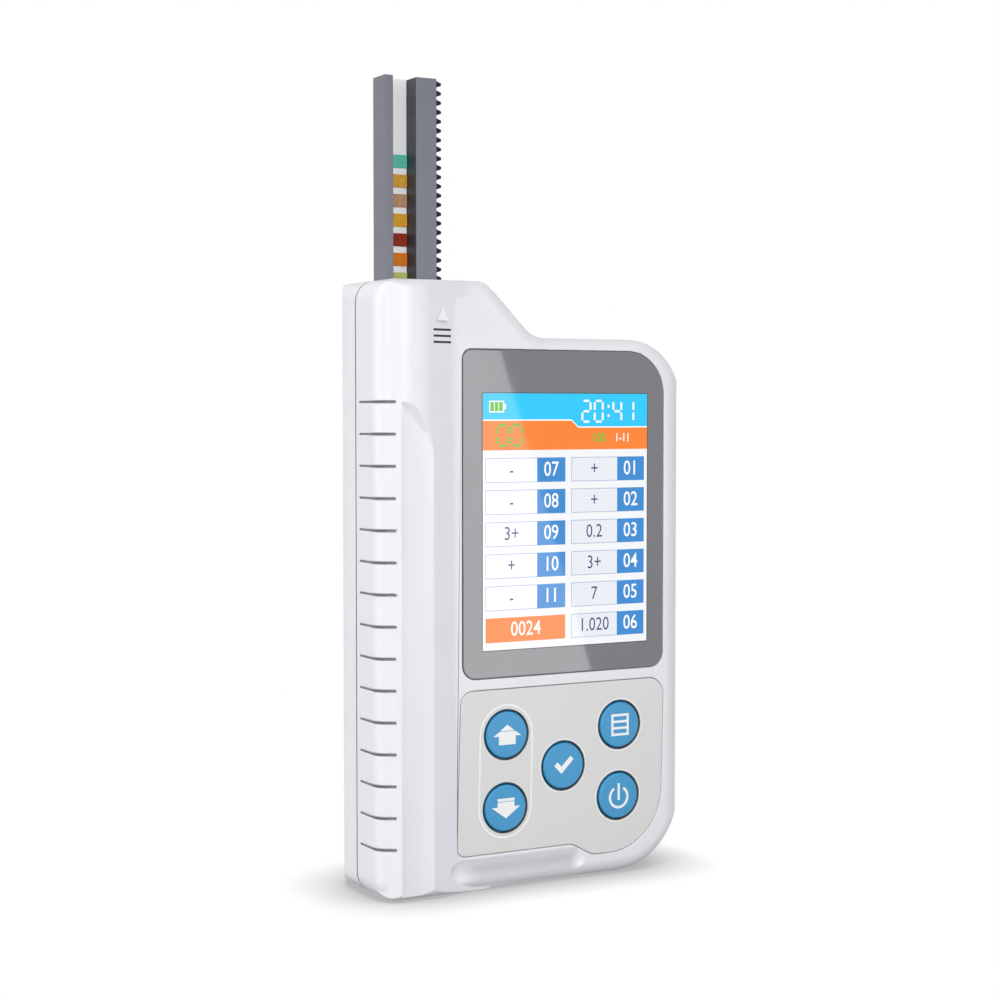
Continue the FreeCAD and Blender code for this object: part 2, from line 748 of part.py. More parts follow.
def front_shell():
    plain = rounded(extruded("front_plain", "y", case_outline(none), face, parting), "y", face,
                    d.front_edge_radius)
    plain = shared("front_rounded", [plain, extruded("front_top_view", "z", [
        (left, face, 0), (right, face, d.right_edge_radius), (right, parting, 0), (left, parting, 0)], none, top)])
    tall = rounded(extruded("front_tall", "y", case_outline(none), crest, parting), "y", crest,
                   d.grip_edge_radius)
    grip = shared("grip", [tall, extruded("grip_bar", "z", grip_section(none, d.grip_radius), none, top)])
    room = extruded("front_room", "y", case_outline(d.wall), floor_back, parting)
    grip_room = shared("grip_room", [
        extruded("grip_room_front", "y", case_outline(d.wall), crest + d.grip_wall, parting),
        extruded("grip_room_bar", "z", grip_section(d.grip_wall, d.grip_room_radius), none, top)])
    hollow = cut("front_hollow", joined("front_outside", [plain, grip]), [room, grip_room])
    posts = [rod(f"board_post_{n}", "y", (x, lens_back, z), d.post_radius, board_front - lens_back)
             for n, (x, z) in enumerate(board_posts, 1)]
    posts += [rod(f"case_post_{n}", "y", (x, lens_back, z), d.post_radius, parting - lens_back)
              for n, (x, z) in enumerate(case_posts, 1)]
    posts.append(rod("reader_post", "y", (reader_mid, crest + d.grip_wall / 2, reader_z), d.key_stem_radius,
                     reader_face - crest - d.grip_wall / 2))
    bore = d.screw_radius + d.thread_gap
    board_bore = d.board_screw_reach + d.screw_end_gap
    case_bore = d.case_screw_reach + d.screw_end_gap
    tools = [rod(f"board_bore_{n}", "y", (x, board_front - board_bore, z), bore, board_bore)
             for n, (x, z) in enumerate(board_posts, 1)]
    tools += [rod(f"case_bore_{n}", "y", (x, parting - case_bore, z), bore, case_bore)
              for n, (x, z) in enumerate(case_posts, 1)]
    tools += [rod(f"{name}_well", "y", (x, lens_back - PAST, z), d.key_radius + d.key_flange + d.key_well_gap,
                  d.ledge_thickness + 2 * PAST) for name, (x, z) in keys.items()]
    margin = d.window_margin
    tools += [
        extruded("lens_seat", "y", lens_outline(d.seam_gap), crest, lens_back),
        box("lens_window", (view[0] - margin, lens_back - PAST, view[2] - margin),
            (view[1] + margin, floor_back + PAST, view[3] + margin)),
        extruded("plate_seat", "y", plate_outline(d.seam_gap), crest, face + d.plate_thickness),
        box("tray_mouth", (tray_left - d.free_gap, tray_face - d.free_gap, top - d.wall - PAST),
            (rack_tip + d.free_gap, parting, top + PAST)),
        box("socket_mouth", (right - d.wall - PAST, board_back - d.free_gap, socket_low - d.free_gap),
            (right + PAST, board_back + d.socket_depth + d.free_gap, socket_high + d.free_gap)),
        side_grooves()]
    tools += scoop() + chin_groove()
    keep("front_shell", cut("front_shell", joined("front_with_posts", [hollow] + posts), tools))


def back_block(name, inset):
    """The rear half as the meeting of three prisms: front view, top view and side view."""
    start = parting
    end = rear - inset
    front_view = extruded(name + "_front_view", "y", case_outline(inset), start, end)
    if number(inset) == 0:
        rounded(front_view, "y", end, d.grip_edge_radius)
    side_radius = rear - parting - d.back_side_flat
    top_view = extruded(name + "_top_view", "z", [
        (left + inset, start, 0), (right - inset, start, 0),
        (right - inset, end, side_radius - inset), (left + inset, end, side_radius - inset)], none, top)
    side_view = extruded(name + "_side_view", "x", [
        (start, inset, 0), (end, inset, d.back_end_radius - inset),
        (end, top - inset, d.back_end_radius - inset), (start, top - inset, 0)], left, right)
    return shared(name, [front_view, top_view, side_view])


def back_shell(outside):
    inside = back_block("back_room", d.wall)
    hollow = cut("back_hollow", outside, [inside])
    seat = d.case_screw_seat
    head = d.screw_head_radius + d.free_gap
    bore = d.screw_radius + d.thread_gap
    post_end = back_inside + BURY
    solids = [rod(f"back_post_{n}", "y", (x, parting, z), head + d.post_wall, post_end - parting)
              for n, (x, z) in enumerate(case_posts, 1)]
    tall = post_end - bracket_back
    solids += [rod(f"bracket_post_{n}", "y", (x, bracket_back, z), d.bracket_post_radius, tall)
               for n, (x, z) in enumerate(bracket_posts, 1)]
    solids.append(rod("axle_post", "y", (gear_x, bracket_back, gear_z), d.axle_radius + d.axle_post_wall, tall))
    solids += [box(f"guide_rib_{n}", (tray_left, guide_back, level - d.rib_thickness / 2),
                   (rack_tip, post_end, level + d.rib_thickness / 2))
               for n, level in enumerate((d.rib_low, top - d.rib_high), 1)]
    wall = d.tub_wall
    inset = d.switch_stand_inset
    solids += [
        box("tub", (-tub_half - wall, battery_front - wall, d.tub_low - wall),
            (tub_half + wall, post_end, tub_high + wall)),
        box("switch_stand", (switch_left, switch_back, switch_low + inset),
            (switch_right - inset, back_inside, switch_high - inset))]
    tools = [rod(f"head_bore_{n}", "y", (x, seat, z), head, rear) for n, (x, z) in enumerate(case_posts, 1)]
    tools += [rod(f"shank_bore_{n}", "y", (x, parting - PAST, z), bore, seat - parting + 2 * PAST)
              for n, (x, z) in enumerate(case_posts, 1)]
    tools += [rod(f"bracket_bore_{n}", "y", (x, bracket_back - PAST, z), bore, d.bracket_bore_depth + PAST)
              for n, (x, z) in enumerate(bracket_posts, 1)]
    window = door_half + d.door_gap
    pin = door_half + d.pin_length + d.pin_end_gap
    tools += [
        rod("axle_seat", "y", (gear_x, bracket_back - PAST, gear_z), d.axle_radius + d.seat_gap,
            axle_end - bracket_back + PAST),
        box("tub_room", (-tub_half, battery_front, d.tub_low), (tub_half, rear + PAST, tub_high)),
        box("door_window", (-window, door_front - d.door_gap, hinge_z - d.door_sill),
            (window, rear + PAST, door_high + d.door_gap)),
        rod("hinge_trough", "x", (-window, hinge_y, hinge_z), d.hinge_depth + d.door_gap, window * 2),
        rod("pin_seat", "x", (-pin, hinge_y, hinge_z), d.pin_radius + d.running_gap, pin * 2),
        ball("finger_notch", (none, rear + d.notch_radius - d.notch_depth, door_high), d.notch_radius),
        box("tray_mouth_rear", (tray_left - d.free_gap, parting - PAST, top - d.wall - PAST),
            (rack_tip + d.free_gap, tray_back + d.free_gap, top + PAST))]
    for n, (across, up) in enumerate(((0, 0), (1, 0), (-1, 0), (0, 1), (0, -1)), 1):
        x = buzzer_x + across * d.sound_hole_pitch
        z = buzzer_z + up * d.sound_hole_pitch
        tools.append(rod(f"sound_hole_{n}", "y", (x, back_inside - PAST, z), d.sound_hole_radius, d.wall + 2 * PAST))
    case = shared("back_inner_fittings", [joined("back_fittings", solids), outside])
    keep("back_shell", cut("back_shell", joined("back_with_posts", [hollow, case]), tools))


def battery_door(outside):
    slab = box("door_slab", (-door_half, door_front, hinge_z), (door_half, rear, door_high))
    nose = rod("door_nose", "x", (-door_half, hinge_y, hinge_z), d.hinge_depth, door_half * 2)
    skin = shared("door_skin", [joined("door_plain", [slab, nose]), outside])
    pins = rod("door_pins", "x", (-door_half - d.pin_length, hinge_y, hinge_z), d.pin_radius,
               (door_half + d.pin_length) * 2)
    keep("battery_door", joined("battery_door", [skin, pins]))


# ---- screen and keys ----

def screen():
    keep("screen_lens", extruded("screen_lens", "y", lens_outline(none), face, lens_back))
    keep("lcd_module", box("lcd_module", (view[0] - d.module_side, floor_back, view[2] - d.module_low),
                           (view[1] + d.module_side, board_front, view[3] + d.module_high)))
    margin = d.window_margin - d.seam_gap
    rim = margin - d.gasket_width
    frame = box("gasket_block", (view[0] - margin, lens_back, view[2] - margin),
                (view[1] + margin, floor_back, view[3] + margin))
    hole = box("gasket_hole", (view[0] - rim, lens_back - PAST, view[2] - rim),
               (view[1] + rim, floor_back + PAST, view[3] + rim))
    keep("screen_gasket", cut("screen_gasket", frame, [hole]))
    module_low = view[2] - d.module_low
    high = module_low - d.connector_drop
    low = high - d.connector_width
    front = board_front - d.connector_height
    half = d.connector_length / 2
    keep("display_connector", box("display_connector", (view_middle - half, front, low),
                                  (view_middle + half, board_front, high)))
    half = d.flex_width / 2
    flex_front = front - d.ribbon_thickness
    keep("display_flex", box("display_flex", (view_middle - half, flex_front, high - d.flex_overlap),
                             (view_middle + half, front, module_low)))


def keypad():
    plate = extruded("plate_blank", "y", plate_outline(none), face, face + d.plate_thickness)
    through = d.plate_thickness + 2 * PAST
    holes = [rod(f"{name}_hole", "y", (x, face - PAST, z), d.key_radius + d.key_gap, through)
             for name, (x, z) in keys.items()]
    keep("keypad_plate", cut("keypad_plate", plate, holes))
    flange_front = face + d.plate_thickness + d.key_flange_gap
    flange_back = flange_front + d.key_flange_thickness
    sheet_front = board_front - d.dome_sheet
    dome_front = sheet_front - d.dome_height
    stem_end = dome_front - d.free_gap - d.key_travel
    for name, (x, z) in keys.items():
        cap = face - d.key_proud
        flange = d.key_radius + d.key_flange
        keep(name, turned(name, x, z, [
            (none, cap, 0), (d.key_radius, cap, d.key_round), (d.key_radius, flange_front, 0),
            (flange, flange_front, 0), (flange, flange_back, 0), (d.key_stem_radius, flange_back, 0),
            (d.key_stem_radius, stem_end, 0), (none, stem_end, 0)]))
    margin = d.dome_margin
    sheet = box("dome_base", (left_keys - d.key_lean - margin, sheet_front, low_row - d.dome_margin_low),
                (right_keys + margin, board_front, high_row + margin))
    domes = [rod(f"{name}_dome", "y", (x, dome_front, z), d.dome_radius, d.dome_height)
             for name, (x, z) in keys.items()]
    keep("dome_sheet", joined("dome_sheet", [sheet] + domes))


# ---- boards ----

def boards():
    blank = extruded("board_blank", "y", [
        (board_edge, d.board_low, d.board_radius), (board_end, d.board_low, d.board_toe_radius),
        (board_end, board_top, d.board_shoulder_radius), (board_edge, board_top, d.board_radius)],
        board_front, board_back)
    start = board_front - PAST
    through = d.board_thickness + 2 * PAST
    holes = [rod(f"board_hole_{n}", "y", (x, start, z), d.screw_radius + d.thread_gap, through)
             for n, (x, z) in enumerate(board_posts, 1)]
    holes += [rod(f"post_hole_{n}", "y", (x, start, z), d.post_radius + d.post_gap, through)
              for n, (x, z) in enumerate(case_posts, 1)]
    keep("main_board", cut("main_board", blank, holes))
    spots = [(view_middle - d.processor_left, d.board_low + d.processor_up, d.processor_side),
             (view_middle + d.memory_right, d.board_low + d.memory_up, d.memory_side),
             (view_middle + d.memory_right, d.board_low + d.charger_up, d.charger_side),
             (view_middle - d.driver_left, board_top - d.driver_down, d.driver_side)]
    chips = [box(f"chip_{n}", (x - side / 2, board_back, z - side / 2),
                 (x + side / 2, board_back + d.chip_height, z + side / 2))
             for n, (x, z, side) in enumerate(spots, 1)]
    keep("board_chips", group("board_chips", chips))
    end = board_back + d.buzzer_height
    keep("buzzer", turned("buzzer", buzzer_x, buzzer_z, [
        (none, board_back, 0), (d.buzzer_radius, board_back, 0), (d.buzzer_radius, end, d.buzzer_round),
        (none, end, 0)]))


def socket():
    start = socket_end - d.socket_length
    wall = d.socket_wall
    back = board_back + d.socket_depth
    middle = board_back + d.socket_depth / 2
    half = d.tongue_thickness / 2
    block = box("socket_block", (start, board_back, socket_low), (socket_end, back, socket_high))
    mouth = box("socket_hollow", (start + d.socket_floor, board_back + wall, socket_low + wall),
                (socket_end + PAST, back - wall, socket_high - wall))
    tongue = box("socket_tongue", (start + d.socket_floor - BURY, middle - half, socket_low + d.tongue_margin),
                 (socket_end - d.tongue_recess, middle + half, socket_high - d.tongue_margin))
    keep("usb_socket", joined("usb_socket", [cut("socket_shell", block, [mouth]), tongue]))


# ---- tray ----

def rack_teeth():
    """A comb of straight-flanked teeth. One tooth lies level with the pinion's axis."""
    module = sizes["rack_module"]
    pitch = math.pi * module
    low = number(tray_low + d.rack_lead)
    high = number(tray_top - d.rack_lead)
    middle = number(gear_z)
    first = math.ceil((low - middle) / pitch)
    last = math.floor((high - middle) / pitch)
    root, line, tip = number(tray_right), number(pitch_line), number(rack_tip)
    half = (pitch / 2 - BACKLASH * module) / 2
    slope = math.tan(PRESSURE_ANGLE)
    front, back = number(tray_face + d.rack_setback), number(tray_back)
    teeth = []
    for n in range(first, last + 1):
        z = middle + n * pitch
        wide = half + (line - root) * slope
        narrow = half - (tip - line) * slope
        corners = [(root - BURY, z - wide), (root, z - wide), (tip, z - narrow), (tip, z + narrow),
                   (root, z + wide), (root - BURY, z + wide)]
        wire = Part.makePolygon([FreeCAD.Vector(x, front, zz) for x, zz in corners + corners[:1]])
        teeth.append(Part.Face(wire).extrude(FreeCAD.Vector(0, back - front, 0)))
    made = doc.addObject("Part::Feature", "rack_teeth")
    made.Shape = Part.makeCompound(teeth)
    return made


def tray():
    blank = box("tray_blank", (tray_left, tray_face, tray_low), (tray_right, tray_back, tray_top))
    channel = box("tray_channel", (channel_left, tray_face - PAST, tray_low - PAST),
                  (channel_right, channel_floor, tray_top + PAST))
    keep("strip_tray", joined("strip_tray", [cut("tray_body", blank, [channel]), rack_teeth()]))
    strip_left = channel_left + d.strip_gap
    strip_right = channel_right - d.strip_gap
    strip_top = tray_top - d.strip_end_gap
    strip_low = strip_top - d.strip_length
    strip_face = channel_floor - d.strip_thickness
    keep("test_strip", box("test_strip", (strip_left, strip_face, strip_low),
                           (strip_right, channel_floor, strip_top)))
    for n in range(sizes["pad_count"]):
        high = strip_top - d.pad_lead - d.pad_pitch * n
        name = f"reagent_pad_{n + 1:02d}"
        keep(name, box(name, (strip_left, strip_face - d.pad_thickness, high - d.pad_length),
                       (strip_right, strip_face, high)))
    high = strip_low - d.tile_gap
    tile_face = channel_floor - d.tile_thickness
    keep("reference_tile", box("reference_tile", (strip_left, tile_face, high - d.tile_length),
                               (strip_right, channel_floor, high)))


def guide():
    """A channel of one section: plate behind the tray, rail beside it and lip before its left wall."""
    gap = d.free_gap
    outer = tray_left - gap - d.guide_rail
    inner = tray_left - gap
    front = tray_face - gap
    far = gear_x - d.hub_radius - d.guide_right_gap
    lip = tray_left + d.guide_lip_cover
    section = [(outer, guide_back, 0), (outer, front - d.guide_lip, 0), (lip, front - d.guide_lip, 0),
               (lip, front, 0), (inner, front, 0), (inner, guide_front, 0), (far, guide_front, 0),
               (far, guide_back, 0)]
    keep("tray_guide", extruded("tray_guide", "z", section, d.guide_low, top - d.guide_high))


def end_switch():
    body = box("switch_body", (switch_left, guide_back + d.switch_gap, switch_low),
               (switch_right, switch_back, switch_high))
    middle = ((switch_left + switch_right) / 2, guide_front, (switch_low + switch_high) / 2)
    plunger = rod("switch_plunger", "y", middle, d.plunger_radius, guide_back + d.plunger_root - guide_front)
    keep("end_switch", joined("end_switch", [body, plunger]))


# ---- drive ----

def gear(name, x, z, low, high, module, teeth, first_tooth, bore):
    """A spur gear with involute flanks, its axis along Y, and one tooth's middle at an angle from +X."""
    pitch_radius = module * teeth / 2
    base = pitch_radius * math.cos(PRESSURE_ANGLE)
    root = pitch_radius - DEDENDUM * module
    tip = pitch_radius + ADDENDUM * module
    half = (math.pi / 2 - BACKLASH) / teeth + math.tan(PRESSURE_ANGLE) - PRESSURE_ANGLE
    start = max(base, root)
    flank = []
    for n in range(FLANK_POINTS):
        radius = start + (tip - start) * n / (FLANK_POINTS - 1)
        roll = math.acos(min(1.0, base / radius))
        flank.append((radius, half - (math.tan(roll) - roll)))
    if root < base:
        flank.insert(0, (root, half))
    points = []
    for n in range(teeth):
        middle = math.radians(first_tooth) + 2 * math.pi * n / teeth
        for radius, turn in flank:
            points.append((radius, middle - turn))
        for radius, turn in reversed(flank):
            points.append((radius, middle + turn))
    ring = [FreeCAD.Vector(x + radius * math.cos(turn), low, z + radius * math.sin(turn))
            for radius, turn in points]
    blank = Part.Face(Part.makePolygon(ring + ring[:1])).extrude(FreeCAD.Vector(0, high - low, 0))
    hole = Part.makeCylinder(bore, high - low + 2 * PAST, FreeCAD.Vector(x, low - PAST, z),
                             FreeCAD.Vector(0, 1, 0))
    made = doc.addObject("Part::Feature", name)
    made.Shape = blank.cut(hole)
    return made


def drive():
    axle_hole = d.axle_radius + d.running_gap
    x, z = number(gear_x), number(gear_z)
    half_pinion = 180 / sizes["pinion_teeth"]
    half_motor = 180 / sizes["motor_teeth"]
    pinion = gear("rack_pinion", x, z, number(pinion_front), number(pinion_back), sizes["rack_module"],
                  sizes["pinion_teeth"], 180 + half_pinion, number(axle_hole))
    wheel = gear("drive_wheel", x, z, number(wheel_front), number(wheel_back), sizes["wheel_module"],
                 sizes["wheel_teeth"], 0, number(axle_hole))
    hub = rod("hub_rod", "y", (gear_x, pinion_back, gear_z), d.hub_radius, wheel_front - pinion_back)
    hub_bore = rod("hub_bore", "y", (gear_x, pinion_back - PAST, gear_z), axle_hole,
                   wheel_front - pinion_back + 2 * PAST)
    keep("drive_gear", joined("drive_gear", [pinion, cut("drive_hub", hub, [hub_bore]), wheel]))
    clip_front = pinion_front - d.free_gap - d.clip_thickness
    axle_front = clip_front - d.axle_tip
    keep("gear_axle", rod("gear_axle", "y", (gear_x, axle_front, gear_z), d.axle_radius, axle_end - axle_front))
    ring = rod("clip_ring", "y", (gear_x, clip_front, gear_z), d.axle_radius + d.clip_rim, d.clip_thickness)
    ring_hole = rod("clip_hole", "y", (gear_x, clip_front - PAST, gear_z), d.axle_radius + d.seat_gap,
                    d.clip_thickness + 2 * PAST)
    keep("axle_clip", cut("axle_clip", ring, [ring_hole]))
    keep("motor_pinion", gear("motor_pinion", number(motor_x), z, number(wheel_front), number(wheel_back),
                              sizes["wheel_module"], sizes["motor_teeth"], 180 + half_motor,
                              number(d.shaft_radius + d.seat_gap)))
    shaft_front = wheel_front - d.shaft_tip
    shaft_end = bracket_back + d.shaft_bearing
    keep("motor_shaft", rod("motor_shaft", "y", (motor_x, shaft_front, gear_z), d.shaft_radius,
                            shaft_end - shaft_front))
    bore = d.shaft_radius + d.running_gap
    bore_end = shaft_end + d.shaft_end_gap
    boss = d.motor_boss_radius
    keep("tray_motor", turned("tray_motor", motor_x, gear_z, [
        (bore, bracket_front, 0), (boss, bracket_front, 0), (boss, bracket_back, 0),
        (d.motor_radius, bracket_back, d.motor_round), (d.motor_radius, back_inside, d.motor_round),
        (none, back_inside, 0), (none, bore_end, 0), (bore, bore_end, 0)]))


def bracket():
    margin = d.bracket_margin
    first, last = bracket_posts[0], bracket_posts[-1]
    plate = extruded("bracket_blank", "y", rectangle(first[0] - margin, last[0] + margin, first[1] - margin,
                                                     last[1] + margin, margin), bracket_front, bracket_back)
    start = bracket_front - PAST
    through = d.bracket_thickness + 2 * PAST
    gap = d.running_gap
    holes = [rod(f"bracket_hole_{n}", "y", (x, start, z), d.screw_radius + d.thread_gap, through)
             for n, (x, z) in enumerate(bracket_posts, 1)]
    holes.append(rod("bracket_axle_hole", "y", (gear_x, start, gear_z), d.axle_radius + gap, through))
    holes.append(rod("bracket_motor_hole", "y", (motor_x, start, gear_z), d.motor_boss_radius + gap, through))
    keep("motor_bracket", cut("motor_bracket", plate, holes))


# ---- reader ----

def reader():
    low, high = reader_low, reader_high
    board_rear = reader_face + d.reader_board
    holder_back = tray_face - d.reader_gap
    lip_front = tray_face - d.free_gap - d.guide_lip
    keep("reader_board", box("reader_board", (reader_left, reader_face, low), (reader_right, board_rear, high)))
    block = box("reader_block", (reader_left, board_rear, low), (reader_right, holder_back, high))
    foot = box("reader_foot", (reader_left - d.reader_foot, lip_front - d.reader_foot_depth, low),
               (reader_left, lip_front, high))
    relief = box("lip_relief", (reader_left - PAST, lip_front, low - PAST),
                 (tray_left + d.guide_lip_cover + d.lip_gap, holder_back + PAST, high + PAST))
    bore = rod("reader_bore", "y", (reader_mid, board_rear - PAST, reader_z), d.reader_bore, d.tray_front)
    keep("reader_holder", cut("reader_holder", joined("reader_body", [block, foot]), [bore, relief]))
    half = d.led_width / 2
    leds = []
    for n, middle in enumerate((reader_z - d.led_pitch / 2, reader_z + d.led_pitch / 2), 1):
        leds.append(box(f"led_{n}", (reader_mid - half, board_rear, middle - d.led_height / 2),
                        (reader_mid + half, board_rear + d.led_thickness, middle + d.led_height / 2)))
    keep("reader_leds", group("reader_leds", leds))
    half, tall = d.sensor_width / 2, d.sensor_height / 2
    keep("reader_sensor", box("reader_sensor", (reader_mid - half, board_rear, reader_z - tall),
                              (reader_mid + half, board_rear + d.sensor_thickness, reader_z + tall)))


def reader_cable():
    """A flat ribbon of one section, from the reader's board down to the front of the main board."""
    thick = d.ribbon_thickness
    start = reader_face + d.ribbon_inset
    bend_x = reader_right + d.ribbon_run
    bend_y = reader_face + d.ribbon_step
    landing = board_edge - d.ribbon_step
    end = board_edge + d.ribbon_landing
    low = reader_z + d.ribbon_rise
    section = [(reader_right, start, 0), (bend_x, bend_y, 0), (landing, board_front - thick, 0),
               (end, board_front - thick, 0), (end, board_front, 0), (landing - thick / 2, board_front, 0),
               (bend_x - thick / 2, bend_y + thick, 0), (reader_right, start + thick, 0)]
    keep("reader_cable", extruded("reader_cable", "z", section, low, low + d.ribbon_width))


# ---- power ----

def battery():
    half = battery_half
    front, high = battery_front, battery_high
    keep("battery_pack", extruded("battery_pack", "z", rectangle(-half, half, front, front + d.battery_depth,
                                                                 d.battery_round), d.tub_low, high))
    thick = d.contact_thickness
    bend = front + d.contact_length
    end = bend + d.contact_length
    section = [(front, tub_high, 0), (front, tub_high - thick, 0), (bend - thick, tub_high - thick, 0),
               (bend - thick, high, 0), (end, high, 0), (end, high + thick, 0), (bend, high + thick, 0),
               (bend, tub_high, 0)]
    springs = [extruded(f"contact_{n}", "x", section, x - d.contact_width / 2, x + d.contact_width / 2)
               for n, x in ((1, -half / 3), (2, half / 3))]
    keep("battery_contacts", group("battery_contacts", springs))


# ---- fasteners ----

def screws():
    """Round-headed screws. A head lies behind its seat, or in front of it on the bracket."""
    head, shank = d.screw_head_radius, d.screw_radius
    tall, edge = d.screw_head_height, d.screw_head_round
    bracket_tip = bracket_front + d.bracket_screw_reach + d.bracket_thickness
    case_seat, case_tip = d.case_screw_seat, parting - d.case_screw_reach
    sets = {"case_screws": (case_posts, case_seat, case_seat + tall, case_tip),
            "board_screws": (board_posts, board_back, board_back + tall, board_front - d.board_screw_reach),
            "bracket_screws": (bracket_posts, bracket_front, bracket_front - tall, bracket_tip)}
    for name, (places, seat, crown, tip) in sets.items():
        profile = [(none, crown, 0), (none, tip, 0), (shank, tip, 0), (shank, seat, 0), (head, seat, 0),
                   (head, crown, edge)]
        keep(name, group(name, [turned(f"{name}_{n}", x, z, profile) for n, (x, z) in enumerate(places, 1)]))


front_shell()
back_outside = back_block("back_outside", none)
back_shell(back_outside)
battery_door(back_outside)
screen()
keypad()
boards()
socket()
tray()
guide()
end_switch()
drive()
bracket()
reader()
reader_cable()
battery()
screws()
doc.recompute()

faults = [f"{item.Name}: {item.State}" for item in doc.Objects
          if "Invalid" in item.State or "Error" in item.State]
for name, made in pieces.items():
    if made.Shape.isNull() or not made.Shape.isValid() or not made.Shape.Solids:
        faults.append(f"{name}: no valid solid")
if faults:
    raise RuntimeError("; ".join(faults))

os.makedirs("parts", exist_ok=True)
for name, made in pieces.items():
    made.Shape.exportStep(f"parts/{name}.step")
    room = made.Shape.BoundBox
    print(f"{name}: {len(made.Shape.Solids)} solids, {made.Shape.Volume:.1f} mm3, "
          f"from {room.XMin:.2f} {room.YMin:.2f} {room.ZMin:.2f} to {room.XMax:.2f} {room.YMax:.2f} {room.ZMax:.2f}")
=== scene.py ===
import math

import bmesh
import bpy
from mathutils import Matrix, Vector


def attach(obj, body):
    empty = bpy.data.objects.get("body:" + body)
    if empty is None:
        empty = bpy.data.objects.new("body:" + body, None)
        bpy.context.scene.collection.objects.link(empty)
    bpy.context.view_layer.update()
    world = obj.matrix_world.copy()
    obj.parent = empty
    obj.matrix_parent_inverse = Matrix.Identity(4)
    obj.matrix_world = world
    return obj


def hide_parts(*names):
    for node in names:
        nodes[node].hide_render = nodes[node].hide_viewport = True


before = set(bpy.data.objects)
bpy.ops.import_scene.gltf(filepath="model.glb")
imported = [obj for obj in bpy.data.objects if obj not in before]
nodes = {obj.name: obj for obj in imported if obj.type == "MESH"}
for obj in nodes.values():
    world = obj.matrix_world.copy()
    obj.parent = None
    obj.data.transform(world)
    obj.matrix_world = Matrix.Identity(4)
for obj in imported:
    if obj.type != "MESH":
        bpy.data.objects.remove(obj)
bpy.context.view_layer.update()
mm = 0.001
print("frame loaded:", len(nodes), "nodes")

# camera: left of the analyzer and a little above its middle
cameraView = {
    "place": (-207.4, -369.99, 99.42),   # millimetres
    "azimuth": 29.04,                    # degrees, turned towards +X from looking along +Y
    "down": 2.576,
    "lens": 71.31,
    "sensor": 36.0,
    "clipStart": 0.01,
}


def makeCamera():
    azimuth = math.radians(cameraView["azimuth"])
    down = math.radians(cameraView["down"])
    forward = Vector((math.sin(azimuth) * math.cos(down), math.cos(azimuth) * math.cos(down),
                      -math.sin(down)))
    data = bpy.data.cameras.new("camera")
    data.lens = cameraView["lens"]
    data.sensor_width = cameraView["sensor"]
    data.clip_start = cameraView["clipStart"]
    camera = bpy.data.objects.new("camera", data)
    camera.location = Vector(cameraView["place"]) * mm
    camera.rotation_euler = forward.to_track_quat("-Z", "Y").to_euler()
    bpy.context.scene.collection.objects.link(camera)
    bpy.context.scene.camera = camera


makeCamera()
bpy.context.scene.view_settings.view_transform = "Standard"

# lights, each aimed at a point; places in metres, power in watts
studio = {
    "aim": (0.0, 0.0, 0.07),
    "lamps": {
        "key": {"place": (-0.17, -0.62, 0.24), "size": (0.36, 0.46), "watts": 1.76},
        "left": {"place": (-0.66, -0.02, 0.20), "size": (0.36, 0.46), "watts": 1.0},
        "over": {"place": (-0.04, -0.02, 0.75), "size": (0.50, 0.50), "watts": 0.15},
    },
    "worldSides": 1.22,                  # light from the horizon, and from straight above
    "worldAbove": 0.34,
    "worldLeft": 1.2,                    # times that, from the left and from the right
    "worldRight": 0.46,
    "worldSeen": 1.0,
    "floorSize": 8.0,
    "floorBounce": (0.38, 0.38, 0.39),
    # a painted contact shadow: the floor's seen white is darkened by ambient occlusion near the base
    "contactReach": 0.014,               # metres from the base within which the floor is darker
    "contactOpen": 0.35,                 # share of open sky above it at which the floor is darkest
    "contactTone": 0.45,
    "cardPlane": -150.0,                 # millimetres; the card that the screen's glass mirrors stands here
    "cardCorners": ((20.0, 2.0), (104.4, 2.0), (49.7, 170.0), (20.0, 170.0)),
    "cardStrength": 3.3,
}


def addNode(tree, kind, links=(), **values):
    # a shader node with values on its sockets, and (input, output socket) links into it
    node = tree.nodes.new("ShaderNode" + kind)
    for key, value in values.items():
        if hasattr(node, key):
            setattr(node, key, value)
        else:
            node.inputs[key.replace("_", " ")].default_value = value
    for key, source in links:
        tree.links.new(source, node.inputs[key])
    return node


def blended(tree, factor, first, second):
    # two colours mixed by a factor; 6 and 7 are the mix node's colour inputs, 2 its colour output
    mix = addNode(tree, "Mix", [("Factor", factor)], data_type="RGBA")
    mix.inputs[6].default_value = (*first, 1.0)
    mix.inputs[7].default_value = (*second, 1.0)
    return mix.outputs[2]


def makeLamp(name, lamp):
    data = bpy.data.lights.new(name, "AREA")
    data.shape = "RECTANGLE"
    data.size, data.size_y = lamp["size"]
    data.energy = lamp["watts"]
    thing = bpy.data.objects.new(name, data)
    thing.location = lamp["place"]
    direction = Vector(studio["aim"]) - Vector(lamp["place"])
    thing.rotation_euler = direction.to_track_quat("-Z", "Y").to_euler()
    bpy.context.scene.collection.objects.link(thing)


def seenRays(tree):
    # 1 on camera, glossy and transmission rays, else 0
    path = addNode(tree, "LightPath")
    both = addNode(tree, "Math", [(0, path.outputs["Is Camera Ray"]), (1, path.outputs["Is Glossy Ray"])],
                   operation="ADD")
    every = addNode(tree, "Math", [(0, both.outputs[0]), (1, path.outputs["Is Transmission Ray"])],
                    operation="ADD", use_clamp=True)
    return every.outputs[0]


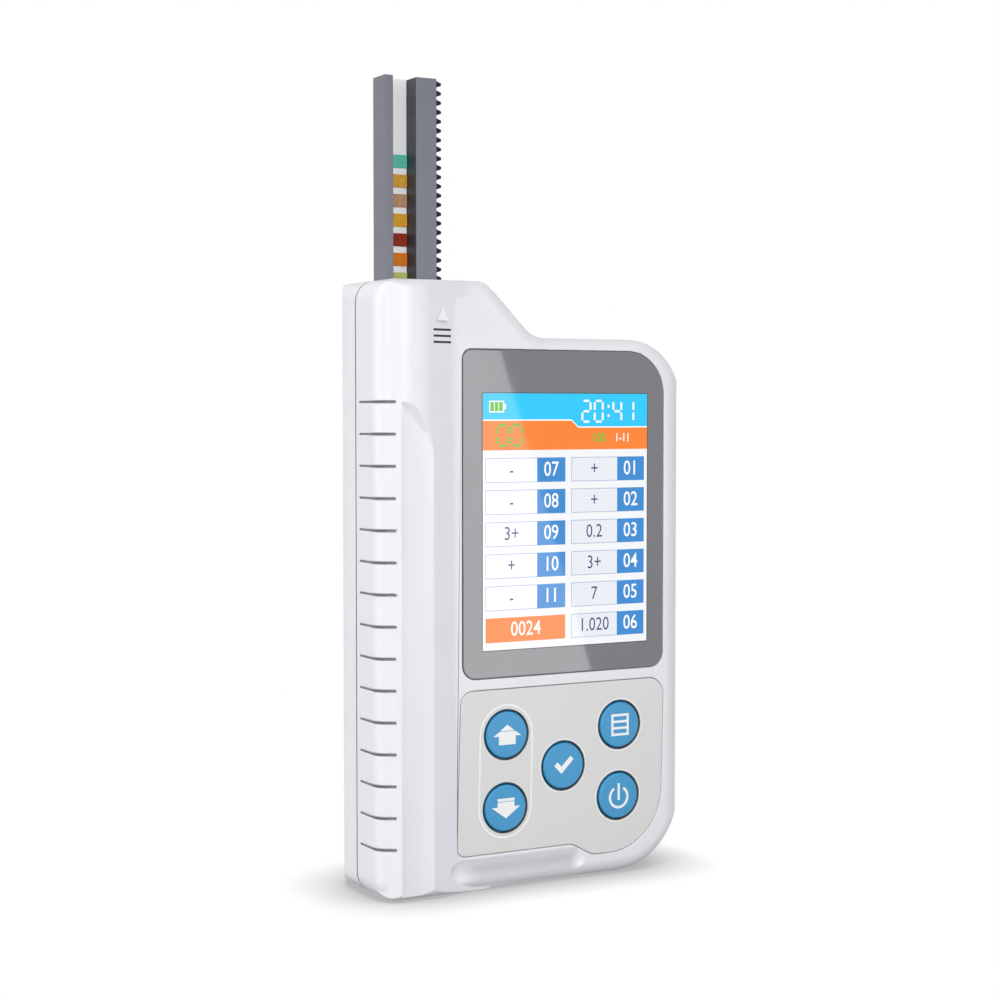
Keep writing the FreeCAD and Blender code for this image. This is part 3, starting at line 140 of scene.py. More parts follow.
def makeWorld():
    world = bpy.data.worlds.new("studio")
    bpy.context.scene.world = world
    world.use_nodes = True
    tree = world.node_tree
    tree.nodes.clear()
    white = (1.0, 1.0, 1.0, 1.0)
    seen = addNode(tree, "Background", Color=white, Strength=studio["worldSeen"])
    way = addNode(tree, "TexCoord")
    aim = addNode(tree, "SeparateXYZ", [("Vector", way.outputs["Generated"])])
    level = addNode(tree, "MapRange", [("Value", aim.outputs["Z"])], From_Min=0.0, From_Max=1.0,
                    To_Min=studio["worldSides"], To_Max=studio["worldAbove"])
    side = addNode(tree, "MapRange", [("Value", aim.outputs["X"])], From_Min=-1.0, From_Max=1.0,
                   To_Min=studio["worldLeft"], To_Max=studio["worldRight"])
    strength = addNode(tree, "Math", [(0, level.outputs["Result"]), (1, side.outputs["Result"])],
                       operation="MULTIPLY")
    lit = addNode(tree, "Background", [("Strength", strength.outputs[0])], Color=white)
    mix = addNode(tree, "MixShader", [(0, seenRays(tree)), (1, lit.outputs[0]), (2, seen.outputs[0])])
    addNode(tree, "OutputWorld", [(0, mix.outputs[0])])


def stageSheet(name, made):
    mesh = bpy.data.meshes.new(name)
    made.to_mesh(mesh)
    made.free()
    sheet = bpy.data.objects.new(name, mesh)
    bpy.context.scene.collection.objects.link(sheet)
    paint = bpy.data.materials.new(name)
    paint.use_nodes = True
    paint.node_tree.nodes.clear()
    mesh.materials.append(paint)
    return sheet, paint.node_tree


def makeFloor():
    made = bmesh.new()
    bmesh.ops.create_grid(made, x_segments=1, y_segments=1, size=studio["floorSize"] / 2)
    tree = stageSheet("floor", made)[1]
    matt = addNode(tree, "BsdfDiffuse", Color=(*studio["floorBounce"], 1.0))
    # the white that the camera sees, darkened near the base by ambient occlusion as a painted contact shadow
    near = addNode(tree, "AmbientOcclusion", Distance=studio["contactReach"])
    tone = addNode(tree, "MapRange", [("Value", near.outputs["AO"])], From_Min=studio["contactOpen"],
                   From_Max=1.0, To_Min=studio["contactTone"], To_Max=1.0)
    white = addNode(tree, "Emission", [("Strength", tone.outputs["Result"])], Color=(1.0, 1.0, 1.0, 1.0))
    mix = addNode(tree, "MixShader", [(0, seenRays(tree)), (1, matt.outputs[0]), (2, white.outputs[0])])
    addNode(tree, "OutputMaterial", [(0, mix.outputs[0])])


def makeCard():
    # a white card with a slanting edge, seen by nothing but reflections
    made = bmesh.new()
    corners = [made.verts.new((x * mm, studio["cardPlane"] * mm, z * mm)) for x, z in studio["cardCorners"]]
    made.faces.new(corners)
    card, tree = stageSheet("reflectionCard", made)
    glow = addNode(tree, "Emission", Strength=studio["cardStrength"])
    addNode(tree, "OutputMaterial", [(0, glow.outputs[0])])
    card.visible_camera = False
    card.visible_diffuse = False
    card.visible_shadow = False
    card.visible_transmission = False


for lampName, lampFacts in studio["lamps"].items():
    makeLamp(lampName, lampFacts)
makeWorld()
makeFloor()
makeCard()
print("studio ready")


# ways of finishing a surface; lengths in millimetres
plasticFacts = {
    "cloudSize": 14.0,                   # the faint cloud in the colour
    "cloudDetail": 3.0,
    "wearSize": 5.0,                     # the patches of different polish
    "wearDetail": 4.0,
    "wearRoughness": 0.6,
}
metalFacts = {
    "lineSize": 0.25,
    "lineDetail": 3.0,
    "lineRoughness": 0.7,
    "lineStrength": 0.6,
    "lineDepth": 0.004,
    "polish": 0.08,
}
padFacts = {
    "blotSize": 0.55,
    "blotDetail": 5.0,
    "blotRoughness": 0.75,
    "blotSpread": (0.35, 0.65),
    "fibreSize": 0.16,
    "fibreDetail": 4.0,
    "fibreRoughness": 0.8,
    "fibreDepth": 0.05,
    "roughness": 0.95,
    "shine": 0.2,
    "edge": 0.1,
}
boardFacts = {
    "cellSize": 1.6,                     # the tracks' squares
    "brickWidth": 0.5,                   # of a brick node at scale 1
    "trackStrength": 0.5,
    "trackDepth": 0.03,
    "roughness": 0.3,
}
dotFacts = {
    "pitch": 0.754,                      # between the screen's dots
    "waves": 20.0,                       # radians in one unit of a wave node
    "gap": 0.05,                         # how much dimmer it is between them
    "spread": (0.3, 1.3),
    "unlit": 0.05,                       # the colour's share when unlit
    "roughness": 0.05,
}


def blankPaint(name):
    paint = bpy.data.materials.new(name)
    paint.use_nodes = True
    tree = paint.node_tree
    return paint, tree, tree.nodes["Principled BSDF"]


def objectPlace(tree, stretch=(1.0, 1.0, 1.0)):
    place = addNode(tree, "TexCoord")
    return addNode(tree, "Mapping", [("Vector", place.outputs["Object"])], Scale=stretch).outputs["Vector"]


def grain(tree, place, size, detail=2.0, roughness=0.5):
    return addNode(tree, "TexNoise", [("Vector", place)], Scale=1 / (size * mm), Detail=detail,
                   Roughness=roughness).outputs["Fac"]


def between(tree, factor, low, high, spread=(0.3, 0.7)):
    return addNode(tree, "MapRange", [("Value", factor)], From_Min=spread[0], From_Max=spread[1], To_Min=low,
                   To_Max=high).outputs["Result"]


def addBump(tree, shader, height, strength, depth):
    bump = addNode(tree, "Bump", [("Height", height)], Strength=strength, Distance=depth * mm)
    tree.links.new(bump.outputs["Normal"], shader.inputs["Normal"])


def moulded(name, colour, shade, roughness, grainSize=0.35, grainDepth=0.004, polish=0.05, coat=0.0,
            shine=0.5):
    # moulded plastic: a faint cloud of colour, a fine eroded grain, and a polish that varies a little
    paint, tree, shader = blankPaint(name)
    place = objectPlace(tree)
    cloud = grain(tree, place, plasticFacts["cloudSize"], plasticFacts["cloudDetail"])
    tree.links.new(blended(tree, between(tree, cloud, 0.0, 1.0), colour, shade), shader.inputs["Base Color"])
    wear = grain(tree, place, plasticFacts["wearSize"], plasticFacts["wearDetail"],
                 plasticFacts["wearRoughness"])
    tree.links.new(between(tree, wear, roughness - polish, roughness + polish), shader.inputs["Roughness"])
    addBump(tree, shader, grain(tree, place, grainSize), 1.0, grainDepth)
    shader.inputs["Coat Weight"].default_value = coat
    shader.inputs["Specular IOR Level"].default_value = shine
    return paint


def withPaintedShade(paint, tone, fades):
    # the same plastic with painted shade, greyer by the tone; each fade is an axis, where the painted shade
    # starts and where it is full
    tree = paint.node_tree
    colour = tree.nodes["Principled BSDF"].inputs["Base Color"]
    plain = colour.links[0].from_socket
    axes = addNode(tree, "SeparateXYZ", [("Vector", addNode(tree, "TexCoord").outputs["Object"])])
    share = None
    for axis, start, full in fades:
        fade = addNode(tree, "MapRange", [("Value", axes.outputs[axis])], interpolation_type="SMOOTHSTEP",
                       From_Min=start * mm, From_Max=full * mm).outputs["Result"]
        share = fade if share is None else addNode(tree, "Math", [(0, share), (1, fade)],
                                                   operation="MULTIPLY").outputs[0]
    grey = addNode(tree, "MapRange", [("Value", share)], To_Min=1.0, To_Max=tone).outputs["Result"]
    darkened = addNode(tree, "VectorMath", [(0, plain), (1, grey)], operation="MULTIPLY")
    tree.links.new(darkened.outputs[0], colour)
    return paint


def brushed(name, colour, shade, roughness, stretch):
    # drawn or rolled metal, with fine lines along one way
    paint, tree, shader = blankPaint(name)
    lines = grain(tree, objectPlace(tree, stretch), metalFacts["lineSize"], metalFacts["lineDetail"],
                  metalFacts["lineRoughness"])
    tree.links.new(blended(tree, between(tree, lines, 0.0, 1.0), colour, shade), shader.inputs["Base Color"])
    tree.links.new(between(tree, lines, roughness - metalFacts["polish"], roughness + metalFacts["polish"]),
                   shader.inputs["Roughness"])
    addBump(tree, shader, lines, metalFacts["lineStrength"], metalFacts["lineDepth"])
    shader.inputs["Metallic"].default_value = 1.0
    return paint


def porous(name, colour, shade):
    # a reagent pad: blotched, fibrous paper
    paint, tree, shader = blankPaint(name)
    place = objectPlace(tree)
    blots = grain(tree, place, padFacts["blotSize"], padFacts["blotDetail"], padFacts["blotRoughness"])
    tree.links.new(blended(tree, between(tree, blots, 0.0, 1.0, padFacts["blotSpread"]), colour, shade),
                   shader.inputs["Base Color"])
    fibres = grain(tree, place, padFacts["fibreSize"], padFacts["fibreDetail"], padFacts["fibreRoughness"])
    addBump(tree, shader, fibres, 1.0, padFacts["fibreDepth"])
    shader.inputs["Roughness"].default_value = padFacts["roughness"]
    shader.inputs["Specular IOR Level"].default_value = padFacts["shine"]
    return paint


def tracked(name, colour, shade, track):
    # a circuit board: squares of lacquer between paler tracks
    paint, tree, shader = blankPaint(name)
    cells = addNode(tree, "TexBrick", [("Vector", objectPlace(tree))],
                    Scale=1 / (boardFacts["cellSize"] * mm) * boardFacts["brickWidth"], Color1=(*colour, 1),
                    Color2=(*shade, 1), Mortar=(*track, 1))
    tree.links.new(cells.outputs["Color"], shader.inputs["Base Color"])
    addBump(tree, shader, cells.outputs["Fac"], boardFacts["trackStrength"], boardFacts["trackDepth"])
    shader.inputs["Roughness"].default_value = boardFacts["roughness"]
    return paint


def litPicture(name, colour, strength):
    # a field of the screen's picture under the glass: it glows by itself through a grid of dots
    paint, tree, shader = blankPaint(name)
    place = objectPlace(tree)
    rows = []
    for axis in ("X", "Z"):
        wave = addNode(tree, "TexWave", [("Vector", place)], wave_type="BANDS", bands_direction=axis,
                       wave_profile="SIN", Scale=math.tau / (dotFacts["waves"] * dotFacts["pitch"] * mm))
        rows.append(wave.outputs["Fac"])
    both = addNode(tree, "Math", [(0, rows[0]), (1, rows[1])], operation="ADD")
    dim = between(tree, both.outputs[0], 1.0 - dotFacts["gap"], 1.0, dotFacts["spread"])
    glow = addNode(tree, "Math", [(0, dim)], operation="MULTIPLY")
    glow.inputs[1].default_value = strength
    tree.links.new(glow.outputs[0], shader.inputs["Emission Strength"])
    shader.inputs["Emission Color"].default_value = (*colour, 1.0)
    shader.inputs["Base Color"].default_value = (*[part * dotFacts["unlit"] for part in colour], 1.0)
    shader.inputs["Roughness"].default_value = dotFacts["roughness"]
    return paint


# shapes; every place is given in millimetres
shapeFacts = {
    "weld": 0.001,                       # points closer than this are one
    "flat": 0.5,                         # degrees; faces that meet at less are one flat face
    "sharpEdge": 30,                     # degrees; edges sharper than this are rounded
    "crispEdge": 35,                     # degrees; what is still sharper is shaded as an edge
    "ringSteps": 64,
    "letterSteps": 3,
    "touch": 0.0001,                     # a point this close to a plane or a centre line lies on it
}


def weldedCopy(node):
    made = bmesh.new()
    made.from_mesh(nodes[node].data)
    bmesh.ops.remove_doubles(made, verts=made.verts, dist=shapeFacts["weld"] * mm)
    bmesh.ops.dissolve_limit(made, angle_limit=math.radians(shapeFacts["flat"]),
                             use_dissolve_boundaries=False, verts=made.verts, edges=made.edges)
    return made


def isInside(place, boxes):
    return any(all(low[axis] <= place[axis] / mm <= high[axis] for axis in range(3)) for low, high in boxes)


def softenEdges(made, width, steps=2, leave=(), keepOut=(), within=None):
    # rounds every sharp edge but those in the boxes to leave and at the points to keep out of, or only those
    # in the boxes within; the outer size stays
    lowest = [min(vert.co[axis] for vert in made.verts) for axis in range(3)]
    highest = [max(vert.co[axis] for vert in made.verts) for axis in range(3)]
    angle = math.radians(shapeFacts["sharpEdge"])
    sharp = [edge for edge in made.edges if edge.is_manifold and edge.calc_face_angle(0) > angle
             and not any(isInside(vert.co, leave) or vert in keepOut for vert in edge.verts)
             and (within is None or all(isInside(vert.co, within) for vert in edge.verts))]
    bmesh.ops.bevel(made, geom=sharp, offset=width * mm, offset_type="OFFSET", affect="EDGES", segments=steps,
                    profile=0.5, material=-1, clamp_overlap=False)
    for vert in made.verts:
        vert.co = [min(max(vert.co[axis], lowest[axis]), highest[axis]) for axis in range(3)]


def paintInside(made, low, high, paint):
    # every face that lies wholly in a box
    for face in made.faces:
        if all(isInside(vert.co, [(low, high)]) for vert in face.verts):
            face.material_index = paint


def addBlock(made, low, high, paint=0):
    low, high = Vector(low) * mm, Vector(high) * mm
    place = Matrix.Translation((low + high) / 2) @ Matrix.Diagonal((*(high - low), 1))
    verts = bmesh.ops.create_cube(made, size=1.0, matrix=place)["verts"]
    for face in {face for vert in verts for face in vert.link_faces}:
        face.material_index = paint


def raiseFlat(made, faces, depth, paint):
    # a flat region given its thickness, towards +Y
    grown = bmesh.ops.extrude_face_region(made, geom=faces)["geom"]
    verts = [part for part in grown if isinstance(part, bmesh.types.BMVert)]
    bmesh.ops.translate(made, verts=verts, vec=(0, depth * mm, 0))
    every = {face for vert in verts for face in vert.link_faces} | set(faces)
    for face in every:
        face.material_index = paint


def addPrism(made, outline, front, back, paint=0):
    # outline: (x, z) points
    verts = [made.verts.new((x * mm, front * mm, z * mm)) for x, z in outline]
    raiseFlat(made, [made.faces.new(verts)], back - front, paint)


def addRing(made, centres, radius, width, front, back):
    # a ring round one centre, or a long ring round two, the lower centre last
    upright = Matrix.Rotation(math.radians(90), 4, "X")
    x, z = centres[0]
    place = Matrix.Translation(Vector((x, front, z)) * mm) @ upright
    verts = bmesh.ops.create_circle(made, cap_ends=True, segments=shapeFacts["ringSteps"], radius=radius * mm,
                                    matrix=place)["verts"]
    if len(centres) > 1:
        shift = Vector((centres[1][0] - x, 0, centres[1][1] - z)) * mm
        lower = [vert for vert in verts if vert.co.z < (z - shapeFacts["touch"]) * mm]
        bmesh.ops.translate(made, verts=lower, vec=shift)
    face = verts[0].link_faces[0]
    rim = bmesh.ops.inset_region(made, faces=[face], thickness=width * mm, use_boundary=True,
                                 use_even_offset=True)["faces"]
    bmesh.ops.delete(made, geom=[face], context="FACES_ONLY")
    raiseFlat(made, rim, back - front, 0)


def addLetters(made, words, size, x, z, front, depth, paint, weight, squeeze):
    # words set in the plain built-in letters, their middle at x, z
    curve = bpy.data.curves.new("letters", "FONT")
    curve.body = words
    curve.size = size * mm
    curve.align_x, curve.align_y = "CENTER", "CENTER"
    curve.extrude = depth / 2 * mm
    curve.offset = weight * mm
    curve.resolution_u = shapeFacts["letterSteps"]
    holder = bpy.data.objects.new("letters", curve)
    mesh = bpy.data.meshes.new_from_object(holder)
    mesh.transform(Matrix.Translation(Vector((x, front + depth / 2, z)) * mm)
                   @ Matrix.Rotation(math.radians(90), 4, "X") @ Matrix.Diagonal((squeeze, 1, 1, 1)))
    before = len(made.faces)
    made.from_mesh(mesh)
    made.faces.ensure_lookup_table()
    for face in made.faces[before:]:
        face.material_index = paint
    bpy.data.objects.remove(holder)
    bpy.data.curves.remove(curve)
    bpy.data.meshes.remove(mesh)


def finishPiece(name, made, paints, body, stands, outward=False):
    if outward:
        bmesh.ops.recalc_face_normals(made, faces=made.faces)
    for face in made.faces:
        face.smooth = True
    mesh = bpy.data.meshes.new(name)
    made.to_mesh(mesh)
    made.free()
    mesh.set_sharp_from_angle(angle=math.radians(shapeFacts["crispEdge"]))
    for paint in paints:
        mesh.materials.append(paint)
    piece = bpy.data.objects.new(name, mesh)
    bpy.context.scene.collection.objects.link(piece)
    weigh = piece.modifiers.new("evenNormals", "WEIGHTED_NORMAL")
    weigh.keep_sharp = True
    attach(piece, body)
    if stands:
        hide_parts(*stands)


# the white case: two shells that meet in a fine line, and the battery door
shellFacts = {
    "softEdge": 0.2,
    "doorEdge": 0.25,
    "polish": 0.36,
    "matt": 0.7,                         # roughness of the grooves and the seam
    "white": (0.865, 0.865, 0.905),
    "whiteShade": (0.84, 0.843, 0.89),
    "shadow": (0.34, 0.335, 0.35),       # in the grooves of the grip
    "seam": (0.07, 0.068, 0.072),        # painted shadow in the marks and where the shells meet
    "seamLevel": -2.0,
    "seamHalf": 0.22,
    "outside": 200.0,                    # farther out than any point of the case
    "grooveFirst": 10.75,
    "groovePitch": 6.46,
    "grooveCount": 15,
    "grooveReach": -33.2,
    "grooveMargin": 0.5,
    "gripEnd": -32.1,
    "marks": (113.3, 114.55, 115.8),
    "markReach": (-25.5, -20.6),
    "lineHalf": 0.3,                     # half the width painted along each groove and mark
    "hollowEdge": (((-32.5, -14.6, -0.1), (-32.2, -13.5, 102.0)),),   # left edge of the hollow for the thumb
    "fineEdge": 0.06,
    # painted shade in the groove of the chin: the box of its faces, how dark it gets, and where it fades in
    "chinHollow": ((-21.2, -13.05, 1.6), (12.2, -11.9, 7.2)),
    "chinShadeTone": 0.7,
    "chinShadeFades": (("Z", 6.6, 4.2), ("Z", 1.85, 2.3), ("X", -19.5, -13.0), ("X", 11.2, 7.6)),
    # boxes round edges that stay sharp: two ends of the flank, a corner of the chin, and the top of the grip
    "leave": (((-12.6, -13.0, -0.1), (-9.9, -9.0, 0.9)), ((-12.6, -13.0, 124.4), (-9.9, -9.0, 126.1)),
              ((8.9, -13.1, 6.6), (9.9, -12.5, 7.4)), ((-35.7, -14.8, 123.2), (-12.7, -11.2, 126.1))),
}
outside = shellFacts["outside"]
lineHalf = shellFacts["lineHalf"]
casePaint = moulded("caseWhite", shellFacts["white"], shellFacts["whiteShade"], shellFacts["polish"])
shadowPaint = moulded("grooveShadow", shellFacts["shadow"], shellFacts["shadow"], shellFacts["matt"])
markAndSeamShadowPaint = moulded("seamShadow", shellFacts["seam"], shellFacts["seam"], shellFacts["matt"])
chinShadePaint = withPaintedShade(moulded("chinPaintedShade", shellFacts["white"], shellFacts["whiteShade"], shellFacts["polish"]),
                   shellFacts["chinShadeTone"], shellFacts["chinShadeFades"])
casePaints = [casePaint, shadowPaint, markAndSeamShadowPaint, chinShadePaint]
grooves = [shellFacts["grooveFirst"] + shellFacts["groovePitch"] * number
           for number in range(shellFacts["grooveCount"])]


def cutGrip(made, level):
    # short faces next to each groove keep the long ones of the grip evenly shaded
    grip = [face for face in made.faces
            if all(vert.co.x < shellFacts["gripEnd"] * mm and vert.co.y < 0 for vert in face.verts)]
    parts = {part for face in grip for part in (face, *face.edges, *face.verts)}
    bmesh.ops.bisect_plane(made, geom=list(parts), dist=shapeFacts["touch"] * mm, plane_co=(0, 0, level * mm),
                           plane_no=(0, 0, 1))


frontCase = weldedCopy("front_shell")
for groove in grooves:
    cutGrip(frontCase, groove - shellFacts["grooveMargin"])
    cutGrip(frontCase, groove + shellFacts["grooveMargin"])
for groove in grooves:
    paintInside(frontCase, (-outside, -outside, groove - lineHalf),
                (shellFacts["grooveReach"], 0, groove + lineHalf), casePaints.index(shadowPaint))
markStart, markEnd = shellFacts["markReach"]
# painted shadow in the three marks on the crest
for mark in shellFacts["marks"]:
    paintInside(frontCase, (markStart, -outside, mark - lineHalf), (markEnd, 0, mark + lineHalf),
                casePaints.index(markAndSeamShadowPaint))
lineVerts = {vert for face in frontCase.faces if face.material_index for vert in face.verts}
softenEdges(frontCase, shellFacts["fineEdge"], within=shellFacts["hollowEdge"])
softenEdges(frontCase, shellFacts["softEdge"], leave=shellFacts["leave"] + shellFacts["hollowEdge"],
            keepOut=lineVerts)
# painted shade in the groove of the chin
paintInside(frontCase, *shellFacts["chinHollow"], casePaints.index(chinShadePaint))
backCase = weldedCopy("back_shell")
softenEdges(backCase, shellFacts["softEdge"])
seamFront = shellFacts["seamLevel"] - shellFacts["seamHalf"]
seamBack = shellFacts["seamLevel"] + shellFacts["seamHalf"]
for shell, shellName, shellNode in ((frontCase, "frontCase", "front_shell"),
                                    (backCase, "backCase", "back_shell")):
    # painted shadow along the line where the shells meet
    paintInside(shell, (-outside, seamFront, -outside), (outside, seamBack, outside),
                casePaints.index(markAndSeamShadowPaint))
    finishPiece(shellName, shell, casePaints, "case", [shellNode])
door = weldedCopy("battery_door")
softenEdges(door, shellFacts["doorEdge"])
finishPiece("batteryCover", door, [casePaint], "battery_door", ["battery_door"])
print("case shells and battery cover ready")

# a plain pointer on the crest, towards the tray
pointerFacts = {
    "outline": ((-24.7, 117.6), (-22.1, 117.6), (-23.4, 120.3)),
    "front": -15.015,
    "back": -14.9,
    "colour": (0.86, 0.86, 0.88),
    "shade": (0.83, 0.83, 0.86),
    "roughness": 0.3,
}
pointerPaint = moulded("pointerWhite", pointerFacts["colour"], pointerFacts["shade"],
                       pointerFacts["roughness"])
pointer = bmesh.new()
addPrism(pointer, pointerFacts["outline"], pointerFacts["front"], pointerFacts["back"])
finishPiece("crestPointer", pointer, [pointerPaint], "case", [], outward=True)


# the screen: a tinted glass with a grey printed border, and the picture that shines through it
glassFacts = {
    "edge": 0.22,
    "colour": (0.168, 0.166, 0.186),
    "shade": (0.161, 0.160, 0.179),
    "finish": (0.06, 0.5, 0.0003, 0.02, 1.0),   # roughness, grain, its depth, polish, coat
}
glassPaint = moulded("borderGrey", glassFacts["colour"], glassFacts["shade"], *glassFacts["finish"])
glass = weldedCopy("screen_lens")
softenEdges(glass, glassFacts["edge"])
finishPiece("screenGlass", glass, [glassPaint], "case", ["screen_lens"])

# the picture; places are millimetres from its upper left corner, to the right and down
picture = {
    "corner": (-13.25, 103.05),
    "size": (40.15, 53.1),
    "face": -13.02,                      # front of the lowest layer
    "layer": 0.008,                      # how far each layer stands in front of the one before
    "layers": ("rim", "ground", "field", "inset", "cover", "sign", "mark"),
    "thick": 0.03,
    "glow": 0.93,
    "colours": {
        "ground": (0.93, 0.94, 0.97),
        "sky": (0.006, 0.60, 1.0),
        "orange": (1.0, 0.225, 0.014),
        "cell": (0.84, 0.87, 0.93),
        "line": (0.36, 0.42, 0.66),
        "label": (0.028, 0.255, 0.66),
        "ink": (0.020, 0.045, 0.16),
        "green": (0.13, 0.52, 0.02),
        "paper": (1.0, 1.0, 1.0),
        "edge": (0.055, 0.055, 0.07),
    },
    "rim": 0.18,                         # dark edge round the picture
    "barLeft": 5.4,                      # height of the sky band, left and right of its step
    "barRight": 6.9,
    "barStep": (21.2, 22.9),
    "paleLine": 0.28,
    "bandEnd": 11.75,
    "rowTop": 13.35,
    "rowPitch": 6.62,
    "rowHeight": 5.1,
    "outline": 0.14,
    "labelSize": 4.3,
    "valueSize": 4.0,
    "squeeze": 0.85,                     # how much narrower than usual the letters are
    "labelWeight": 0.03,
    "valueWeight": -0.01,
    "totalWeight": 0.02,
    "columns": (                         # value cell from, label from, label to, the cell's colour, rows
        (0.65, 12.9, 19.75, "ground",
         (("07", "-"), ("08", "-"), ("09", "3+"), ("10", "+"), ("11", "-"), (None, "0024"))),
        (21.2, 32.6, 39.4, "cell",
         (("01", "+"), ("02", "+"), ("03", "0.2"), ("04", "3+"), ("05", "7"), ("06", "1.020"))),
    ),
    "smallWords": (("100", 2.7, 27.9, "green", 0.04), ("1-11", 2.5, 33.9, "paper", 0.03)),
    "smallLevel": 9.35,
}
batterySign = {
    "body": (1.5, 1.55, 5.0, 3.95),      # left, top, right, bottom
    "tip": (5.0, 2.2, 5.45, 3.3),
    "bar": (1.75, 1.8, 2.6, 3.7),
    "bars": 3,
    "pitch": 1.03,
}
clockFacts = {
    "words": "20:41",
    "place": (23.9, 1.5),
    "size": (2.0, 4.4),
    "thick": 0.48,
    "pitch": 3.05,
    "colonPitch": 1.6,
    "colonDots": ((0.15, 2.4, 0.65, 2.95), (0.15, 4.35, 0.65, 4.9)),
}
counterFacts = {
    "words": "00",
    "place": (3.5, 6.5),
    "size": (2.4, 4.3),
    "thick": 0.56,
    "pitch": 3.3,
    "dashes": 2,                         # in each bar of a figure
}
barFacts = {
    "end": 0.62,                         # a bar starts this share of its thickness from the corner
    "dashGap": 0.06,
    # which bars are lit: top, upper right, lower right, bottom, lower left, upper left, middle
    "lit": {"0": "1111110", "1": "0110000", "2": "1101101", "3": "1111001", "4": "0110011", "5": "1011011",
            "6": "1011111", "7": "1110000", "8": "1111111", "9": "1111011"},
}
pictureNames = list(picture["colours"])
picturePaints = [litPicture("screen" + name.capitalize(), colour, picture["glow"])
                 for name, colour in picture["colours"].items()]
screen = bmesh.new()


def onScreen(u, v):
    # u to the right and v down, to x and z
    return picture["corner"][0] + u, picture["corner"][1] - v


def layerFront(layer):
    return picture["face"] - picture["layer"] * picture["layers"].index(layer)


def patch(u1, v1, u2, v2, layer, colour):
    x1, z1 = onScreen(u1, v1)
    x2, z2 = onScreen(u2, v2)
    front = layerFront(layer)
    addBlock(screen, (min(x1, x2), front, min(z1, z2)), (max(x1, x2), front + picture["thick"], max(z1, z2)),
             pictureNames.index(colour))


def shapePatch(points, layer, colour):
    front = layerFront(layer)
    addPrism(screen, [onScreen(u, v) for u, v in points], front, front + picture["thick"],
             pictureNames.index(colour))


def screenWords(words, size, u, v, layer, colour, weight):
    x, z = onScreen(u, v)
    addLetters(screen, words, size, x, z, layerFront(layer), picture["thick"], pictureNames.index(colour),
               weight, picture["squeeze"])


def barFigure(figure, u, v, facts, layer, colour):
    # a seven-bar figure, its bars cut into dashes where the facts say so
    wide, high = facts["size"]
    half, thick, dashes = high / 2, facts["thick"], facts.get("dashes", 1)
    runs = (((0, 0), (wide, 0)), ((wide, 0), (wide, half)), ((wide, half), (wide, high)),
            ((0, high), (wide, high)), ((0, half), (0, high)), ((0, 0), (0, half)), ((0, half), (wide, half)))
    end, gap = thick * barFacts["end"], barFacts["dashGap"]
    for lit, ((u1, v1), (u2, v2)) in zip(barFacts["lit"][figure], runs):
        if lit == "0":
            continue
        for dash in range(dashes):
            across = u2 > u1
            length = (u2 - u1) if across else (v2 - v1)
            start = end + (length - 2 * end) * dash / dashes + (gap if dash else 0.0)
            stop = end + (length - 2 * end) * (dash + 1) / dashes - (gap if dash < dashes - 1 else 0.0)
            if across:
                patch(u + u1 + start, v + v1 - thick / 2, u + u1 + stop, v + v1 + thick / 2, layer, colour)
            else:
                patch(u + u1 - thick / 2, v + v1 + start, u + u1 + thick / 2, v + v1 + stop, layer, colour)


def skyOutline(line):
    # the sky band, lower by the line
    step1, step2 = picture["barStep"]
    wide = picture["size"][0]
    return [(0, 0), (0, picture["barLeft"] + line), (step1, picture["barLeft"] + line),
            (step2, picture["barRight"] + line), (wide, picture["barRight"] + line), (wide, 0)]


def drawBands():
    wide, high = picture["size"]
    rim = picture["rim"]
    patch(-rim, -rim, wide + rim, high + rim, "rim", "edge")
    patch(0, 0, wide, high, "ground", "ground")
    patch(0, 0, wide, picture["bandEnd"], "field", "orange")
    shapePatch(skyOutline(picture["paleLine"]), "inset", "paper")
    shapePatch(skyOutline(0), "cover", "sky")


def drawBattery():
    patch(*batterySign["body"], "sign", "paper")
    patch(*batterySign["tip"], "sign", "paper")
    left, top, right, bottom = batterySign["bar"]
    for number in range(batterySign["bars"]):
        shift = batterySign["pitch"] * number
        patch(left + shift, top, right + shift, bottom, "mark", "green")


def drawClock():
    left, top = clockFacts["place"]
    for figure in clockFacts["words"]:
        if figure == ":":
            for u1, v1, u2, v2 in clockFacts["colonDots"]:
                patch(left + u1, v1, left + u2, v2, "sign", "paper")
            left += clockFacts["colonPitch"]
        else:
            barFigure(figure, left, top, clockFacts, "sign", "paper")
            left += clockFacts["pitch"]


def drawCounter():
    left, top = counterFacts["place"]
    for number, figure in enumerate(counterFacts["words"]):
        barFigure(figure, left + counterFacts["pitch"] * number, top, counterFacts, "sign", "green")
    for words, size, middle, colour, weight in picture["smallWords"]:
        screenWords(words, size, middle, picture["smallLevel"], "sign", colour, weight)


def drawRow(cell1, label1, label2, colour, top, label, value):
    bottom = top + picture["rowHeight"]
    middle = (top + bottom) / 2
    if label is None:
        patch(cell1, top, label2, bottom, "field", "orange")
        screenWords(value, picture["labelSize"], (cell1 + label2) / 2, middle, "cover", "paper",
                    picture["totalWeight"])
        return
    edge = picture["outline"]
    patch(cell1, top, label2, bottom, "field", "line")
    patch(cell1 + edge, top + edge, label1, bottom - edge, "inset", colour)
    patch(label1, top, label2, bottom, "cover", "label")
    screenWords(label, picture["labelSize"], (label1 + label2) / 2, middle, "sign", "paper",
                picture["labelWeight"])
    screenWords(value, picture["valueSize"], (cell1 + label1) / 2, middle, "sign", "ink",
                picture["valueWeight"])


drawBands()
drawBattery()
drawClock()
drawCounter()
for cell1, label1, label2, colour, rows in picture["columns"]:
    for number, (label, value) in enumerate(rows):
        drawRow(cell1, label1, label2, colour, picture["rowTop"] + picture["rowPitch"] * number, label, value)
finishPiece("screenPicture", screen, picturePaints, "case", [], outward=True)
print("screen ready")
